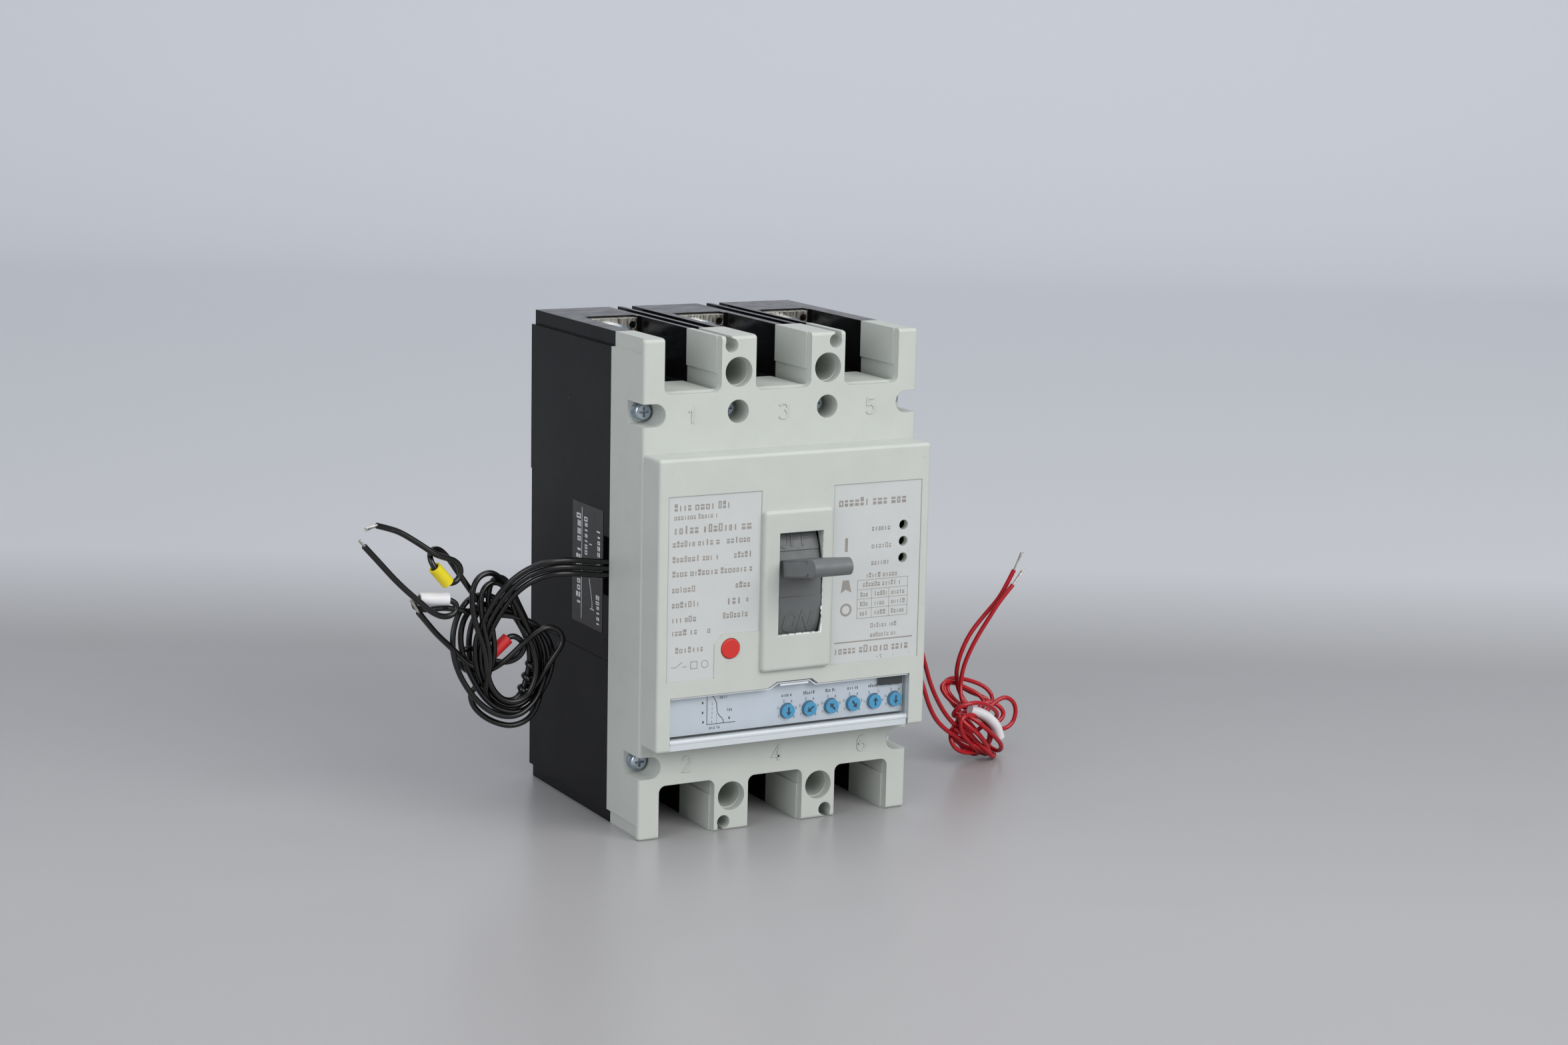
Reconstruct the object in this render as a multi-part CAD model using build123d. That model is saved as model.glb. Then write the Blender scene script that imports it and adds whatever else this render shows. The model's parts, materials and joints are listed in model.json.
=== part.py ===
from build123d import *
import os
from math import cos, pi, radians, sin, tan

# Moulded case circuit breaker, three poles, 125 A frame, with an electronic trip unit.
# Millimetres. Origin: centre of the four mounting holes, on the back face.
# +X to the right seen from the front, +Y into the mounting panel, +Z up to the line side.

# ---- Driving dimensions ----
WIDTH = 92.0
HEIGHT = 150.0
POLE_PITCH = 30.0
BOLT_SPACING_X = 30.0
BOLT_SPACING_Z = 129.0
BOLT_HOLE_R = 2.25
SPLIT_Y = -58.0           # joint face between base and cover
FRONT_Y = -80.0           # front of the cover at the terminals
RAISED_Y = -90.5          # front of the raised middle of the cover
ESCUTCHEON_Y = -92.5
RAISED_TOP = 41.5
RAISED_BOTTOM = -45.7
WALL = 2.5

HALF_W = WIDTH / 2
HALF_H = HEIGHT / 2
INNER_X = HALF_W - WALL
END_W = 44.7              # half width where the ends are stepped in
END_Z = 70.6
POLES = (-POLE_PITCH, 0.0, POLE_PITCH)
SIDES = (-1, 1)

# Terminal chambers
CHAMBER_X = 9.0
CHAMBER_Z = 58.7
CELL_Z = 56.0
PLATE_Y = (-25.0, -22.0)
BAR_Y = (-19.5, -16.5)
SCREW_Z = 66.5

# Handle
PIVOT_Y = -57.0
HANDLE_REST = 11.0        # degrees above the straight-out position, in the tripped position
SHIELD_R = (33.6, 35.3)
SHIELD_X = (-6.6, 7.6)
BAR_X = (-5.9, 6.7)
TIP_R = 56.4
BAR_HALF = 2.6

# Contact shaft
SHAFT_Y, SHAFT_Z = -27.0, -4.0
SHAFT_R = 6.0
OPEN_ANGLE = 26.0
ARM_R = 34.0
RUN = 0.08                # radial clearance of a running fit

# Toggle linkage pivots (y, z) at rest
CRANK_PIN = (-35.6, 4.3)
UPPER_PIVOT = (-52.0, 8.0)
TOGGLE = (-45.2, -0.05)
HOOK_R = 2.15             # clearance hook of the upper links round the toggle pin
CRADLE_PIVOT = (-56.0, 16.0)
TRIP_AXIS = (-47.0, -23.0)

# Front controls
BUTTON_X, BUTTON_Z = -21.7, -16.0
DIAL_X = (-0.29, 7.23, 14.84, 22.45, 29.85, 37.05)
DIAL_Z = -37.85
DIAL_TURN = (180, 235, -40, 145, 0, 180)   # arrow direction, degrees clockwise from up
LED_X = 36.7
LED_Z = (16.9, 11.9, 6.8)
HINGE_Y, HINGE_Z = -89.3, -43.1
COVER_SCREWS = ((-42.0, 52.8), (42.0, 52.8), (-42.0, -52.8), (42.0, -52.8))
MIDDLE_SCREWS = ((-15.0, 52.7), (15.0, 52.7))

# Control wiring
BLACK_D = 1.8
RED_D = 1.5

# Routes of the free leads, from inside the case outwards
BLACK_LEADS = (
    ((-42.9, -56.8, 5.4), (-49.5, -57.3, 5.9), (-56.5, -58.0, 7.2), (-64.0, -57.3, 7.4),
     (-70.6, -55.3, 5.5), (-75.0, -52.0, 1.4), (-78.1, -49.0, -3.6), (-80.6, -46.6, -9.4),
     (-82.0, -44.2, -14.6)),
    ((-42.9, -56.8, 3.4), (-49.5, -57.3, 3.9), (-56.5, -58.0, 5.2), (-63.5, -57.3, 5.5),
     (-69.3, -55.3, 3.9), (-73.3, -52.0, 0.2), (-76.2, -49.0, -4.4), (-78.6, -46.6, -9.8),
     (-80.1, -44.2, -15.0)),
    ((-42.9, -56.8, 1.4), (-49.5, -57.3, 1.9), (-56.5, -58.0, 3.2), (-63.0, -57.3, 3.5),
     (-68.0, -55.3, 2.2), (-71.7, -52.0, -1.1), (-74.4, -49.0, -5.3), (-76.6, -46.6, -10.3),
     (-78.2, -44.2, -15.2)),
)
BLACK_TAILS = (
    ((-81.5, -43.5, -7.0), (-84.6, -43.9, -2.6), (-88.3, -44.0, 2.7), (-92.0, -44.5, 8.1),
     (-95.2, -45.4, 11.2), (-98.4, -47.2, 11.6), (-99.9, -49.4, 9.8), (-99.3, -50.8, 7.4),
     (-97.2, -50.9, 4.4), (-94.2, -50.2, 1.4), (-90.9, -49.2, 2.0), (-89.6, -48.9, 5.0),
     (-91.4, -49.4, 7.9), (-94.8, -50.4, 9.3), (-98.6, -51.2, 10.7), (-103.3, -50.8, 14.1),
     (-109.3, -50.6, 18.1), (-113.5, -51.0, 19.7), (-117.2, -52.2, 20.9)),
    ((-83.5, -43.5, -9.4), (-88.4, -44.3, -7.9), (-93.7, -45.0, -6.7), (-98.5, -45.2, -6.9),
     (-102.2, -45.6, -6.3), (-104.0, -46.7, -4.4), (-102.9, -48.0, -2.8), (-98.1, -48.3, -2.9),
     (-93.3, -48.3, -3.6), (-90.8, -48.4, -5.2), (-91.6, -48.9, -7.9), (-95.4, -49.8, -8.6),
     (-99.6, -50.8, -6.6), (-102.8, -51.6, -3.7), (-106.2, -51.8, -0.8), (-111.2, -51.8, 4.0),
     (-117.0, -52.0, 10.6), (-121.2, -52.5, 15.2)),
    ((-83.7, -43.0, -25.4), (-87.0, -43.9, -22.6), (-91.2, -45.0, -18.7), (-96.6, -46.5, -14.1),
     (-100.9, -48.0, -9.1), (-103.2, -49.0, -6.5)),
)
BLACK_TIPS = ((-121.4, -53.6, 20.2), (-122.8, -52.9, 17.2), (-106.1, -50.0, -2.0))
RED_LEADS = (
    ((42.9, -56.8, 4.4), (48.5, -57.0, 3.6), (53.5, -56.8, 0.2), (57.2, -56.0, -6.0),
     (60.3, -54.9, -13.6), (63.6, -53.8, -22.5), (67.0, -52.2, -30.5), (70.8, -50.2, -39.1),
     (73.6, -49.0, -45.6), (77.0, -48.0, -51.5), (81.0, -47.0, -57.0), (85.4, -46.0, -61.3),
     (90.0, -45.0, -64.3)),
    ((42.9, -56.8, 2.3), (47.6, -57.0, 1.2), (51.5, -57.0, -2.6), (54.6, -56.5, -9.0),
     (57.6, -55.4, -17.0), (61.2, -54.0, -26.0), (65.6, -52.4, -36.5), (70.4, -50.6, -47.0),
     (72.9, -49.6, -52.6), (76.4, -48.5, -57.9), (81.0, -47.2, -62.0), (86.0, -46.0, -65.2)),
)
RED_TAILS = (
    ((95.8, -30.0, -52.0), (95.2, -30.1, -47.1), (96.8, -30.0, -41.2), (100.4, -29.8, -34.9),
     (105.6, -30.0, -29.3), (110.5, -30.8, -24.0), (113.5, -30.9, -19.3), (116.1, -31.0, -14.6)),
    ((95.6, -32.4, -51.4), (96.4, -32.3, -46.3), (98.7, -32.2, -41.0), (102.3, -32.2, -35.0),
     (106.2, -32.4, -29.5), (109.9, -33.0, -23.8), (114.4, -33.2, -19.1)),
)
RED_TIPS = ((119.2, -31.0, -8.6), (118.6, -33.1, -13.9))
SHUNT_SLEEVE = ((91.6, -45.0, -56.8), (97.6, -45.2, -59.1), (102.0, -45.2, -63.3),
                (103.6, -45.0, -67.6))


# ---- Helpers ----
def block(xs, ys, zs):
    """Box between two x, two y and two z values, in any order."""
    spans = [sorted(pair) for pair in (xs, ys, zs)]
    centre = [(low + high) / 2 for low, high in spans]
    size = [high - low for low, high in spans]
    return Pos(*centre) * Box(*size)


def rod_x(x0, x1, y, z, radius):
    return Pos((x0 + x1) / 2, y, z) * Rot(0, 90, 0) * Cylinder(radius, abs(x1 - x0))


def rod_y(x, y0, y1, z, radius):
    return Pos(x, (y0 + y1) / 2, z) * Rot(90, 0, 0) * Cylinder(radius, abs(y1 - y0))


def rod_z(x, y, z0, z1, radius):
    return Pos(x, y, (z0 + z1) / 2) * Cylinder(radius, abs(z1 - z0))


def slab(sketch, y_back, y_front):
    """A sketch in x and z, extruded from y_back forwards to y_front."""
    return extrude(Plane.XZ.offset(-y_back) * sketch, amount=y_back - y_front, dir=(0, -1, 0))


def side_plate(sketch, x0, x1):
    """A sketch in y and z, extruded from x0 to x1."""
    return extrude(Plane.YZ.offset(x0) * sketch, amount=x1 - x0, dir=(1, 0, 0))


def outline(*points):
    return Polygon(*points, align=None)


def turned(shape, y, z, degrees):
    """Turn a shape about the X axis through (y, z)."""
    return Pos(0, y, z) * Rot(degrees, 0, 0) * Pos(0, -y, -z) * shape


def wedge(r_in, r_out, a0, a1):
    """Ring sector sketch about the origin, angles in degrees up from -Y."""
    reach = 2 * r_out
    fan = [(0, 0)]
    for angle in (a0, (a0 + a1) / 2, a1):
        fan.append((-reach * cos(radians(angle)), reach * sin(radians(angle))))
    return (Circle(r_out) - Circle(r_in)) & outline(*fan)


def tube_between(start, end, radius):
    """Round bar between two points."""
    axis = Vector(*end) - Vector(*start)
    return extrude(Plane(origin=start, z_dir=axis) * Circle(radius), amount=axis.length)


def group(parts):
    """Separate solids kept apart in one node."""
    solids = []
    for part in parts:
        solids.extend(part.solids())
    return Compound(children=solids)


def round_bar(a, radius_a, b, radius_b):
    """Flat outline wrapped round two circles at (y, z) points a and b."""
    first = Pos(*a) * Circle(radius_a)
    second = Pos(*b) * Circle(radius_b)
    return make_hull(first.edges() + second.edges())


def link(a, b, radius, x0, x1, hole_a, hole_b):
    """Flat link with two round ends and their pin holes."""
    bar = round_bar(a, radius, b, radius)
    bar = bar - Pos(*a) * Circle(hole_a) - Pos(*b) * Circle(hole_b)
    return side_plate(bar, x0, x1)


# ---- Base ----
def base_profile():
    right = [(END_W, HALF_H), (END_W, END_Z), (HALF_W, END_Z), (HALF_W, 25.2), (45.7, 25.2),
             (45.7, -24.9), (HALF_W, -24.9), (HALF_W, -END_Z), (END_W, -END_Z), (END_W, -HALF_H)]
    left = [(-x, z) for x, z in reversed(right)]
    return outline(*right, *left)


def base_cells():
    """Three pole cells and the openings between them."""
    cuts = []
    for pole in POLES:
        cuts.append(block((pole - 13.5, pole + 13.5), (SPLIT_Y, -4), (-CELL_Z, CELL_Z)))
    cuts.append(block((-20, 20), (SPLIT_Y, -20), (SHAFT_Z - 8, SHAFT_Z + 8)))
    cuts.append(block((-20, 20), (SPLIT_Y, -43.5), (-26.5, -19.5)))
    return cuts


def base_terminal_cuts():
    """Chamber, plate slot, bar slot and screw bore of each pole, for the line end."""
    cuts = []
    for pole in POLES:
        cuts.append(block((pole - CHAMBER_X, pole + CHAMBER_X), (SPLIT_Y, -25), (CHAMBER_Z, 80)))
        cuts.append(block((pole - 6.2, pole + 6.2), (-22, -16.8), (SCREW_Z - 6.2, SCREW_Z + 6.2)))
        cuts.append(rod_y(pole, -22, -12, SCREW_Z, 3.4))
    for side in SIDES:
        cuts.append(block((side * 16.5, side * 19.6), (SPLIT_Y, 0), (70.2, 80)))
        cuts.append(block((side * 11.5, side * 15.0), (SPLIT_Y, 0), (70.2, 80)))
    return cuts


def base():
    body = slab(base_profile(), 0, SPLIT_Y)
    cuts = base_cells()
    for cut in base_terminal_cuts():
        cuts.append(cut)
        cuts.append(mirror(cut, Plane.XY))
    for side in SIDES:
        for end in SIDES:
            x, z = side * BOLT_SPACING_X / 2, end * BOLT_SPACING_Z / 2
            cuts.append(rod_y(x, SPLIT_Y, 0, z, BOLT_HOLE_R))
            cuts.append(rod_y(x, SPLIT_Y, -12, z, 4.5))
        cuts.append(block((side * INNER_X, side * 47), (SPLIT_Y, -53.4), (-4.9, 13)))
    cuts.append(block((-36, 36), (-1, 0), (-48, 48)))
    body = body - cuts
    bosses = []
    for x, z in COVER_SCREWS:
        side, end = (1 if x > 0 else -1), (1 if z > 0 else -1)
        bosses.append(block((side * 37.8, side * 44), (SPLIT_Y, -3), (end * 47.5, end * 57)))
    for x, z in MIDDLE_SCREWS:
        bosses.append(rod_y(x, SPLIT_Y, -35, z, 3.5))
    body = body + bosses
    holes = []
    for x, z in COVER_SCREWS + MIDDLE_SCREWS:
        holes.append(rod_y(x, SPLIT_Y, -44, z, 1.5))
    for pole in POLES:
        slot = block((pole - 8.2, pole + 8.2), PLATE_Y, (52.9, 80))
        holes.append(slot)
        holes.append(mirror(slot, Plane.XY))
    return body - holes


def rear_insulation_plate():
    return block((-35.8, 35.8), (-0.95, -0.1), (-47.8, 47.8))


# ---- Cover ----
def cover_shell():
    lower = block((-HALF_W, HALF_W), (FRONT_Y, SPLIT_Y), (-HALF_H, HALF_H))
    edges = lower.edges().filter_by(Axis.Y) + lower.faces().sort_by(Axis.Y)[0].edges()
    lower = fillet(edges, 1.0)
    upper = block((-45.6, 45.6), (RAISED_Y, FRONT_Y + 2), (RAISED_BOTTOM, RAISED_TOP))
    edges = upper.edges().filter_by(Axis.Y) + upper.faces().sort_by(Axis.Y)[0].edges()
    upper = fillet(edges, 1.0)
    plate = block((-11.8, 11.4), (ESCUTCHEON_Y, RAISED_Y + 2), (-24.0, 24.6))
    edges = plate.edges().filter_by(Axis.Y) + plate.faces().sort_by(Axis.Y)[0].edges()
    plate = fillet(edges, 1.2)
    return lower + upper + plate


def cover_inside():
    lower = block((-INNER_X, INNER_X), (-77.3, SPLIT_Y), (-CELL_Z, CELL_Z))
    columns = []
    for x, z in COVER_SCREWS:
        side, end = (1 if x > 0 else -1), (1 if z > 0 else -1)
        columns.append(block((side * 37.8, side * 44), (-78, SPLIT_Y), (end * 47.5, end * 57)))
    for x, z in MIDDLE_SCREWS:
        columns.append(rod_y(x, -78, SPLIT_Y, z, 5.0))
    upper = block((-43, 43), (-88, -77), (-26.9, 38.8))
    return lower - columns + upper


def cover_end_cuts():
    """Terminal slots, phase barrier keyholes and side steps, for the line end."""
    cuts = []
    for pole in POLES:
        mouth = Pos(pole, CHAMBER_Z + 15) * RectangleRounded(18.6, 30, 2.2)
        cuts.append(slab(mouth, -77.5, FRONT_Y - 1))
        cuts.append(block((pole - 8.7, pole + 8.7), (-77.5, SPLIT_Y), (59.3, 80)))
        cuts.append(block((pole - 9.1, pole + 9.1), (-77.5, SPLIT_Y), (59.3, 64)))
        for side in SIDES:
            cuts.append(block((pole + side * 7.6, pole + side * 9.1), (-76, SPLIT_Y), (55.9, 59.4)))
    for side in SIDES:
        cuts.append(rod_y(side * 17.5, FRONT_Y - 1, SPLIT_Y, 72.3, 2.1))
        cuts.append(block((side * 17.3, side * 19.4), (FRONT_Y - 1, SPLIT_Y), (72.3, 80)))
        cuts.append(block((side * END_W, side * 50), (-76, SPLIT_Y), (END_Z, 80)))
        cuts.append(rod_z(side * (END_W + 3), -76, END_Z, 80, 3))
        cuts.append(rod_y(side * 15, FRONT_Y - 1, SPLIT_Y, 64.4, 4.2))
        cuts.append(rod_y(side * 15, FRONT_Y - 1, FRONT_Y + 3, 64.4, 4.45))
    return cuts


def cover_screw_cuts():
    cuts = []
    for x, z in COVER_SCREWS:
        side = 1 if x > 0 else -1
        cuts.append(rod_y(side * 42.2, FRONT_Y - 1, -69.4, z, 3.4))
        cuts.append(block((side * 42.2, side * 47), (FRONT_Y - 1, -69.4), (z - 3.4, z + 3.4)))
        cuts.append(rod_y(x, FRONT_Y, SPLIT_Y, z, 1.75))
    for x, z in MIDDLE_SCREWS:
        cuts.append(rod_y(x, FRONT_Y - 1, -71, z, 3.5))
        cuts.append(rod_y(x, -71, SPLIT_Y, z, 1.75))
    return cuts


def cover_front_cuts():
    """Window, button hole, lamp holes, label recesses and the dial recess."""
    window = block((-6.9, 7.9), (ESCUTCHEON_Y - 1, -80), (-13.3, 17.75))
    relief = rod_x(-7.5, 8.5, PIVOT_Y, 0, 35.8) - block((-8, 9), (-94, -92.1), (-12, 12))
    left = outline((-42.6, 30.5), (-12.0, 30.5), (-12.0, -11.6), (-24.5, -11.6), (-27.0, -14.1),
                   (-27.0, -24.6), (-42.6, -24.6))
    right = outline((12.3, 30.6), (42.7, 30.6), (42.7, -24.3), (12.3, -24.3))
    tab = outline((-8.8, -30.5), (-8.8, -29.3), (-5.8, -27.7), (6.1, -27.7), (8.2, -29.3),
                  (8.2, -30.5))
    cuts = [window, relief, slab(left, -90.2, -91), slab(right, -90.2, -91)]
    cuts.append(rod_y(BUTTON_X, -92, -80, BUTTON_Z, 3.15))
    for z in LED_Z:
        cuts.append(rod_y(LED_X, -92, -80, z, 1.5))
    cuts.append(block((-41.2, 40.2), (-92, -86), (-29.4, -46)))
    cuts.append(slab(tab, -88.3, -92))
    cuts.append(block((-40, 40.15), (-86.5, -70), (-30.5, -43.5)))
    cuts.append(rod_x(-42.2, 41.1, HINGE_Y, HINGE_Z, 0.85))
    return cuts


def front_cover():
    body = cover_shell() - cover_inside()
    cuts = cover_screw_cuts() + cover_front_cuts()
    for cut in cover_end_cuts():
        cuts.append(cut)
        cuts.append(mirror(cut, Plane.XY))
    return body - cuts


# ---- Current path ----
def conductor(z_inner):
    """Jog and inner bar behind one terminal plate, as an outline in y and z."""
    return outline((-25, 53), (-22, 53), (-22, 50.5), (-16.5, 50.5), (-16.5, z_inner),
                   (-19.5, z_inner), (-19.5, 47.5), (-25, 47.5))


def line_terminals():
    parts = []
    for pole in POLES:
        flat = block((pole - 8.15, pole + 8.15), PLATE_Y, (53, 74.5))
        flat = flat - rod_y(pole, -26, -21, SCREW_Z, 3.3) - rod_y(pole + 6.8, -26, -21, 72.3, 1.15)
        jog = side_plate(conductor(21.0), pole - 5, pole + 5)
        pad = block((pole - 3, pole + 3), (-22.6, -19.5), (24, 34))
        parts.append(flat + jog + pad)
    return group(parts)


def load_terminals():
    parts = []
    for pole in POLES:
        flat = block((pole - 8.15, pole + 8.15), PLATE_Y, (53, 74.5))
        flat = flat - rod_y(pole, -26, -21, SCREW_Z, 3.3) - rod_y(pole - 6.8, -26, -21, 72.3, 1.15)
        jog = side_plate(conductor(14.0), pole - 4, pole + 4)
        parts.append(mirror(flat + jog, Plane.XY))
    return group(parts)


def terminal_screws():
    """Pan head screws with a knurled rim and a cross recess."""
    parts = []
    for end in SIDES:
        for pole in POLES:
            z = end * SCREW_Z
            head = rod_y(pole, -29.6, -25, z, 6.5)
            head = chamfer(head.edges().group_by(Axis.Y)[0], 0.8)
            cross = block((pole - 3.2, pole + 3.2), (-30, -27.4), (z - 0.7, z + 0.7))
            cross = cross + block((pole - 0.7, pole + 0.7), (-30, -27.4), (z - 3.2, z + 3.2))
            parts.append(head - cross + rod_y(pole, -25, -12.5, z, 3.0))
    return group(parts)


def terminal_nuts():
    """Square nuts captive behind the terminal plates."""
    parts = []
    for end in SIDES:
        for pole in POLES:
            z = end * SCREW_Z
            nut = block((pole - 6.0, pole + 6.0), (-21.9, -17.0), (z - 6.0, z + 6.0))
            parts.append(nut - rod_y(pole, -22, -16, z, 3.05))
    return group(parts)


def arc_chute_frames():
    parts = []
    for pole in POLES:
        frame = block((pole - 13.1, pole + 13.1), (-51, -21), (21.5, 47))
        frame = frame - block((pole - 12.1, pole + 12.1), (-52, -20), (21, 46))
        for step in range(4):
            x = pole - 7.5 + 5 * step
            frame = frame - block((x - 1.2, x + 1.2), (-47, -25), (45, 48))
        parts.append(frame)
    return group(parts)


def arc_splitter_plates():
    """Seven U-shaped steel plates in each chute."""
    parts = []
    for pole in POLES:
        for step in range(7):
            z = 23.0 + 3.3 * step
            plate = block((pole - 12.0, pole + 12.0), (-50, -22), (z, z + 1.5))
            notch = block((pole - 4.0, pole + 4.0), (-46, -21), (z - 1, z + 3))
            parts.append(plate - notch)
    return group(parts)


def contact_shaft():
    """Insulating bar across the poles, with the crank lugs of the middle pole."""
    shaft = rod_x(-41, 41, SHAFT_Y, SHAFT_Z, SHAFT_R)
    lug = round_bar((SHAFT_Y, SHAFT_Z), SHAFT_R, CRANK_PIN, 2.6) - Pos(*CRANK_PIN) * Circle(1.2)
    for side in SIDES:
        shaft = shaft + side_plate(lug, min(side * 8.8, side * 9.9), max(side * 8.8, side * 9.9))
    return shaft


def moving_contact(pole):
    """Contact arm and its silver tip, drawn closed and turned to the open position."""
    arm = outline((-31.5, 0), (-30, SHAFT_Z + ARM_R), (-25.0, SHAFT_Z + ARM_R), (-24.0, 6),
                  (-21.5, -1), (-21.5, -9), (-31.5, -9))
    arm = arm - Pos(SHAFT_Y, SHAFT_Z) * Circle(SHAFT_R)
    piece = side_plate(arm, pole - 2.5, pole + 2.5)
    piece = piece + block((pole - 2.3, pole + 2.3), (-25.5, -22.75), (25, 29.5))
    return turned(piece, SHAFT_Y, SHAFT_Z, OPEN_ANGLE)


def crank_pins():
    """Stub pins that carry the lower links on the crank lugs."""
    return group([rod_x(side * 7.3, side * 9.9, *CRANK_PIN, 1.2) for side in SIDES])


def flexible_braids():
    """Copper braid from each load bar towards its contact arm."""
    parts = []
    for pole in POLES:
        braid = outline((-19.5, -16), (-19.5, -19), (-24.5, -19.5), (-29.5, -17.2),
                        (-29.5, -15.6), (-24.5, -17))
        parts.append(side_plate(braid, pole - 2.2, pole + 2.2))
    return group(parts)


# ---- Operating mechanism ----
def mechanism_plates():
    plate = outline((-8, -18), (-8, 20), (-50, 22), (-62, 18), (-62, -8), (-52, -28), (-42, -28),
                    (-38, -18))
    plate = plate - Pos(SHAFT_Y, SHAFT_Z) * Circle(SHAFT_R + RUN)
    plate = plate - Pos(PIVOT_Y, 0) * Circle(2.05)
    plate = plate - Pos(*TRIP_AXIS) * Circle(2.5 + RUN)
    for point in (UPPER_PIVOT, CRADLE_PIVOT):
        plate = plate - Pos(*point) * Circle(1.5)
    foot = Pos(-6, -12) * Rectangle(4, 8) + Pos(-6, 14) * Rectangle(4, 8)
    parts = [side_plate(plate + foot, -11.4, -10.2), side_plate(plate + foot, 10.2, 11.4)]
    return group(parts)


def mechanism_pins():
    """Upper link pivot, cradle pivot and two spacer pins between the plates."""
    parts = [rod_x(-11.4, 11.4, *UPPER_PIVOT, 1.5), rod_x(-11.4, 11.4, *CRADLE_PIVOT, 1.5)]
    for y, z in ((-12, 16), (-12, -14)):
        parts.append(rod_x(-10.2, 10.2, y, z, 1.5))
    return group(parts)


def handle():
    """Toggle and its curved shield, drawn straight out and turned to the rest angle."""
    low, high = SHIELD_R
    shield = wedge(low, 35.0, -48, 48) + wedge(34.5, high, 8.6, 48) + wedge(34.5, high, -48, -13.9)
    body = side_plate(shield, *SHIELD_X)
    nose = -(TIP_R - BAR_HALF)
    body = body + block((BAR_X[0] + 0.4, BAR_X[1] - 0.4), (nose, -34.5), (-BAR_HALF, BAR_HALF))
    body = body + block(BAR_X, (nose, -52.4), (-BAR_HALF, BAR_HALF))
    body = body + rod_x(*BAR_X, nose, 0, BAR_HALF)
    pad = outline((-36.9, -2.2), (-36.9, 2.2), (-49.6, 2.2), (-49.6, -2.2))
    pad = pad + Pos(-49.6, 0) * Circle(2.2)
    body = body + side_plate(pad, BAR_X[0], BAR_X[0] + 0.5)
    body = body + side_plate(pad, BAR_X[1] - 0.5, BAR_X[1])
    body = body + block((-5, 6), (-34, -28.2), (-6, 6))
    return Pos(0, PIVOT_Y, 0) * Rot(-HANDLE_REST, 0, 0) * body


def handle_yoke():
    """Two steel arms on the plates' pivots and the crosspiece that carries the handle."""
    arm = wedge(3, 28.2, -14, 14) + Circle(4)
    cross = wedge(27, 28.2, -14, 14)
    body = side_plate(cross, -12.8, 12.8)
    for side in SIDES:
        body = body + side_plate(arm, min(side * 11.6, side * 12.8), max(side * 11.6, side * 12.8))
        body = body + rod_x(side * 10.2, side * 12, 0, 0, 2.0)
    return Pos(0, PIVOT_Y, 0) * Rot(-HANDLE_REST, 0, 0) * body


def latch_cradle():
    """C-shaped pair of levers joined by the latch bridge."""
    lever = outline((-53, 13), (-53, 19), (-66, 19), (-66, -20), (-54, -20), (-54, -17.5),
                    (-62, -17.5), (-62, 13))
    lever = lever + Pos(*CRADLE_PIVOT) * Circle(3)
    lever = lever - Pos(*CRADLE_PIVOT) * Circle(1.5 + RUN)
    body = block((-8.8, 8.8), (-57, -54), (-20, -17.5))
    for side in SIDES:
        body = body + side_plate(lever, min(side * 7.8, side * 8.8), max(side * 7.8, side * 8.8))
    return body


def upper_links():
    """Links on the upper pivot, with a clearance hook round the toggle pin."""
    parts = []
    for side in SIDES:
        x0, x1 = sorted((side * 6.0, side * 7.2))
        parts.append(link(UPPER_PIVOT, TOGGLE, 3.2, x0, x1, 1.5 + RUN, HOOK_R))
    return group(parts)


def lower_links():
    parts = []
    for side in SIDES:
        x0, x1 = sorted((side * 7.45, side * 8.6))
        parts.append(link(CRANK_PIN, TOGGLE, 2.4, x0, x1, 1.2 + RUN, 1.0))
    return group(parts)


def toggle_pin():
    return rod_x(-8.6, 8.6, *TOGGLE, 1.0)


def main_springs():
    """Pair of tension springs from the toggle pin to the yoke's crosspiece."""
    parts = []
    far = (PIVOT_Y - 26.8 * cos(radians(HANDLE_REST)), 26.8 * sin(radians(HANDLE_REST)))
    axis = Vector(0, far[0] - TOGGLE[0], far[1] - TOGGLE[1])
    start_gap = 1.5
    for side in SIDES:
        start = Vector(side * 3.2, *TOGGLE) + axis.normalized() * start_gap
        length = axis.length - start_gap
        turns = 18
        pitch = length / turns
        profile = [(0, 0)]
        for turn in range(turns):
            profile.append((1.9, turn * pitch))
            profile.append((2.3, (turn + 0.5) * pitch))
        profile.append((1.9, length))
        profile.append((0, length))
        solid = revolve(Plane.XZ * outline(*profile), Axis.Z)
        parts.append(Plane(origin=start, z_dir=axis, x_dir=(1, 0, 0)) * solid)
    return group(parts)


# ---- Tripping parts ----
def trip_bar():
    """Cross bar with the latch flag in the middle and three paddles."""
    y, z = TRIP_AXIS
    body = rod_x(-41, 41, y, z, 2.5)
    body = body + block((-3, 3), (y - 6.5, y + 1), (z - 1.5, z + 1.5))
    body = body + block((-3, 3), (y - 6.5, y - 4.5), (z - 1.5, z + 5.5))
    for x, half in ((BUTTON_X, 2.5), (22.0, 2.5), (36.0, 2.0)):
        body = body + block((x - half, x + half), (y - 1, y + 1), (z, z + 9))
    return body


def push_to_trip_button():
    """Round cap that stands just proud of the cover, and its stem."""
    cap = rod_y(BUTTON_X, -91.0, -82, BUTTON_Z, 3.0)
    cap = fillet(cap.edges().group_by(Axis.Y)[0], 0.4)
    cap = cap + rod_y(BUTTON_X, -82, -81, BUTTON_Z, 3.8)
    return cap + rod_y(BUTTON_X, -81, -48.4, BUTTON_Z, 1.5)


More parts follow.
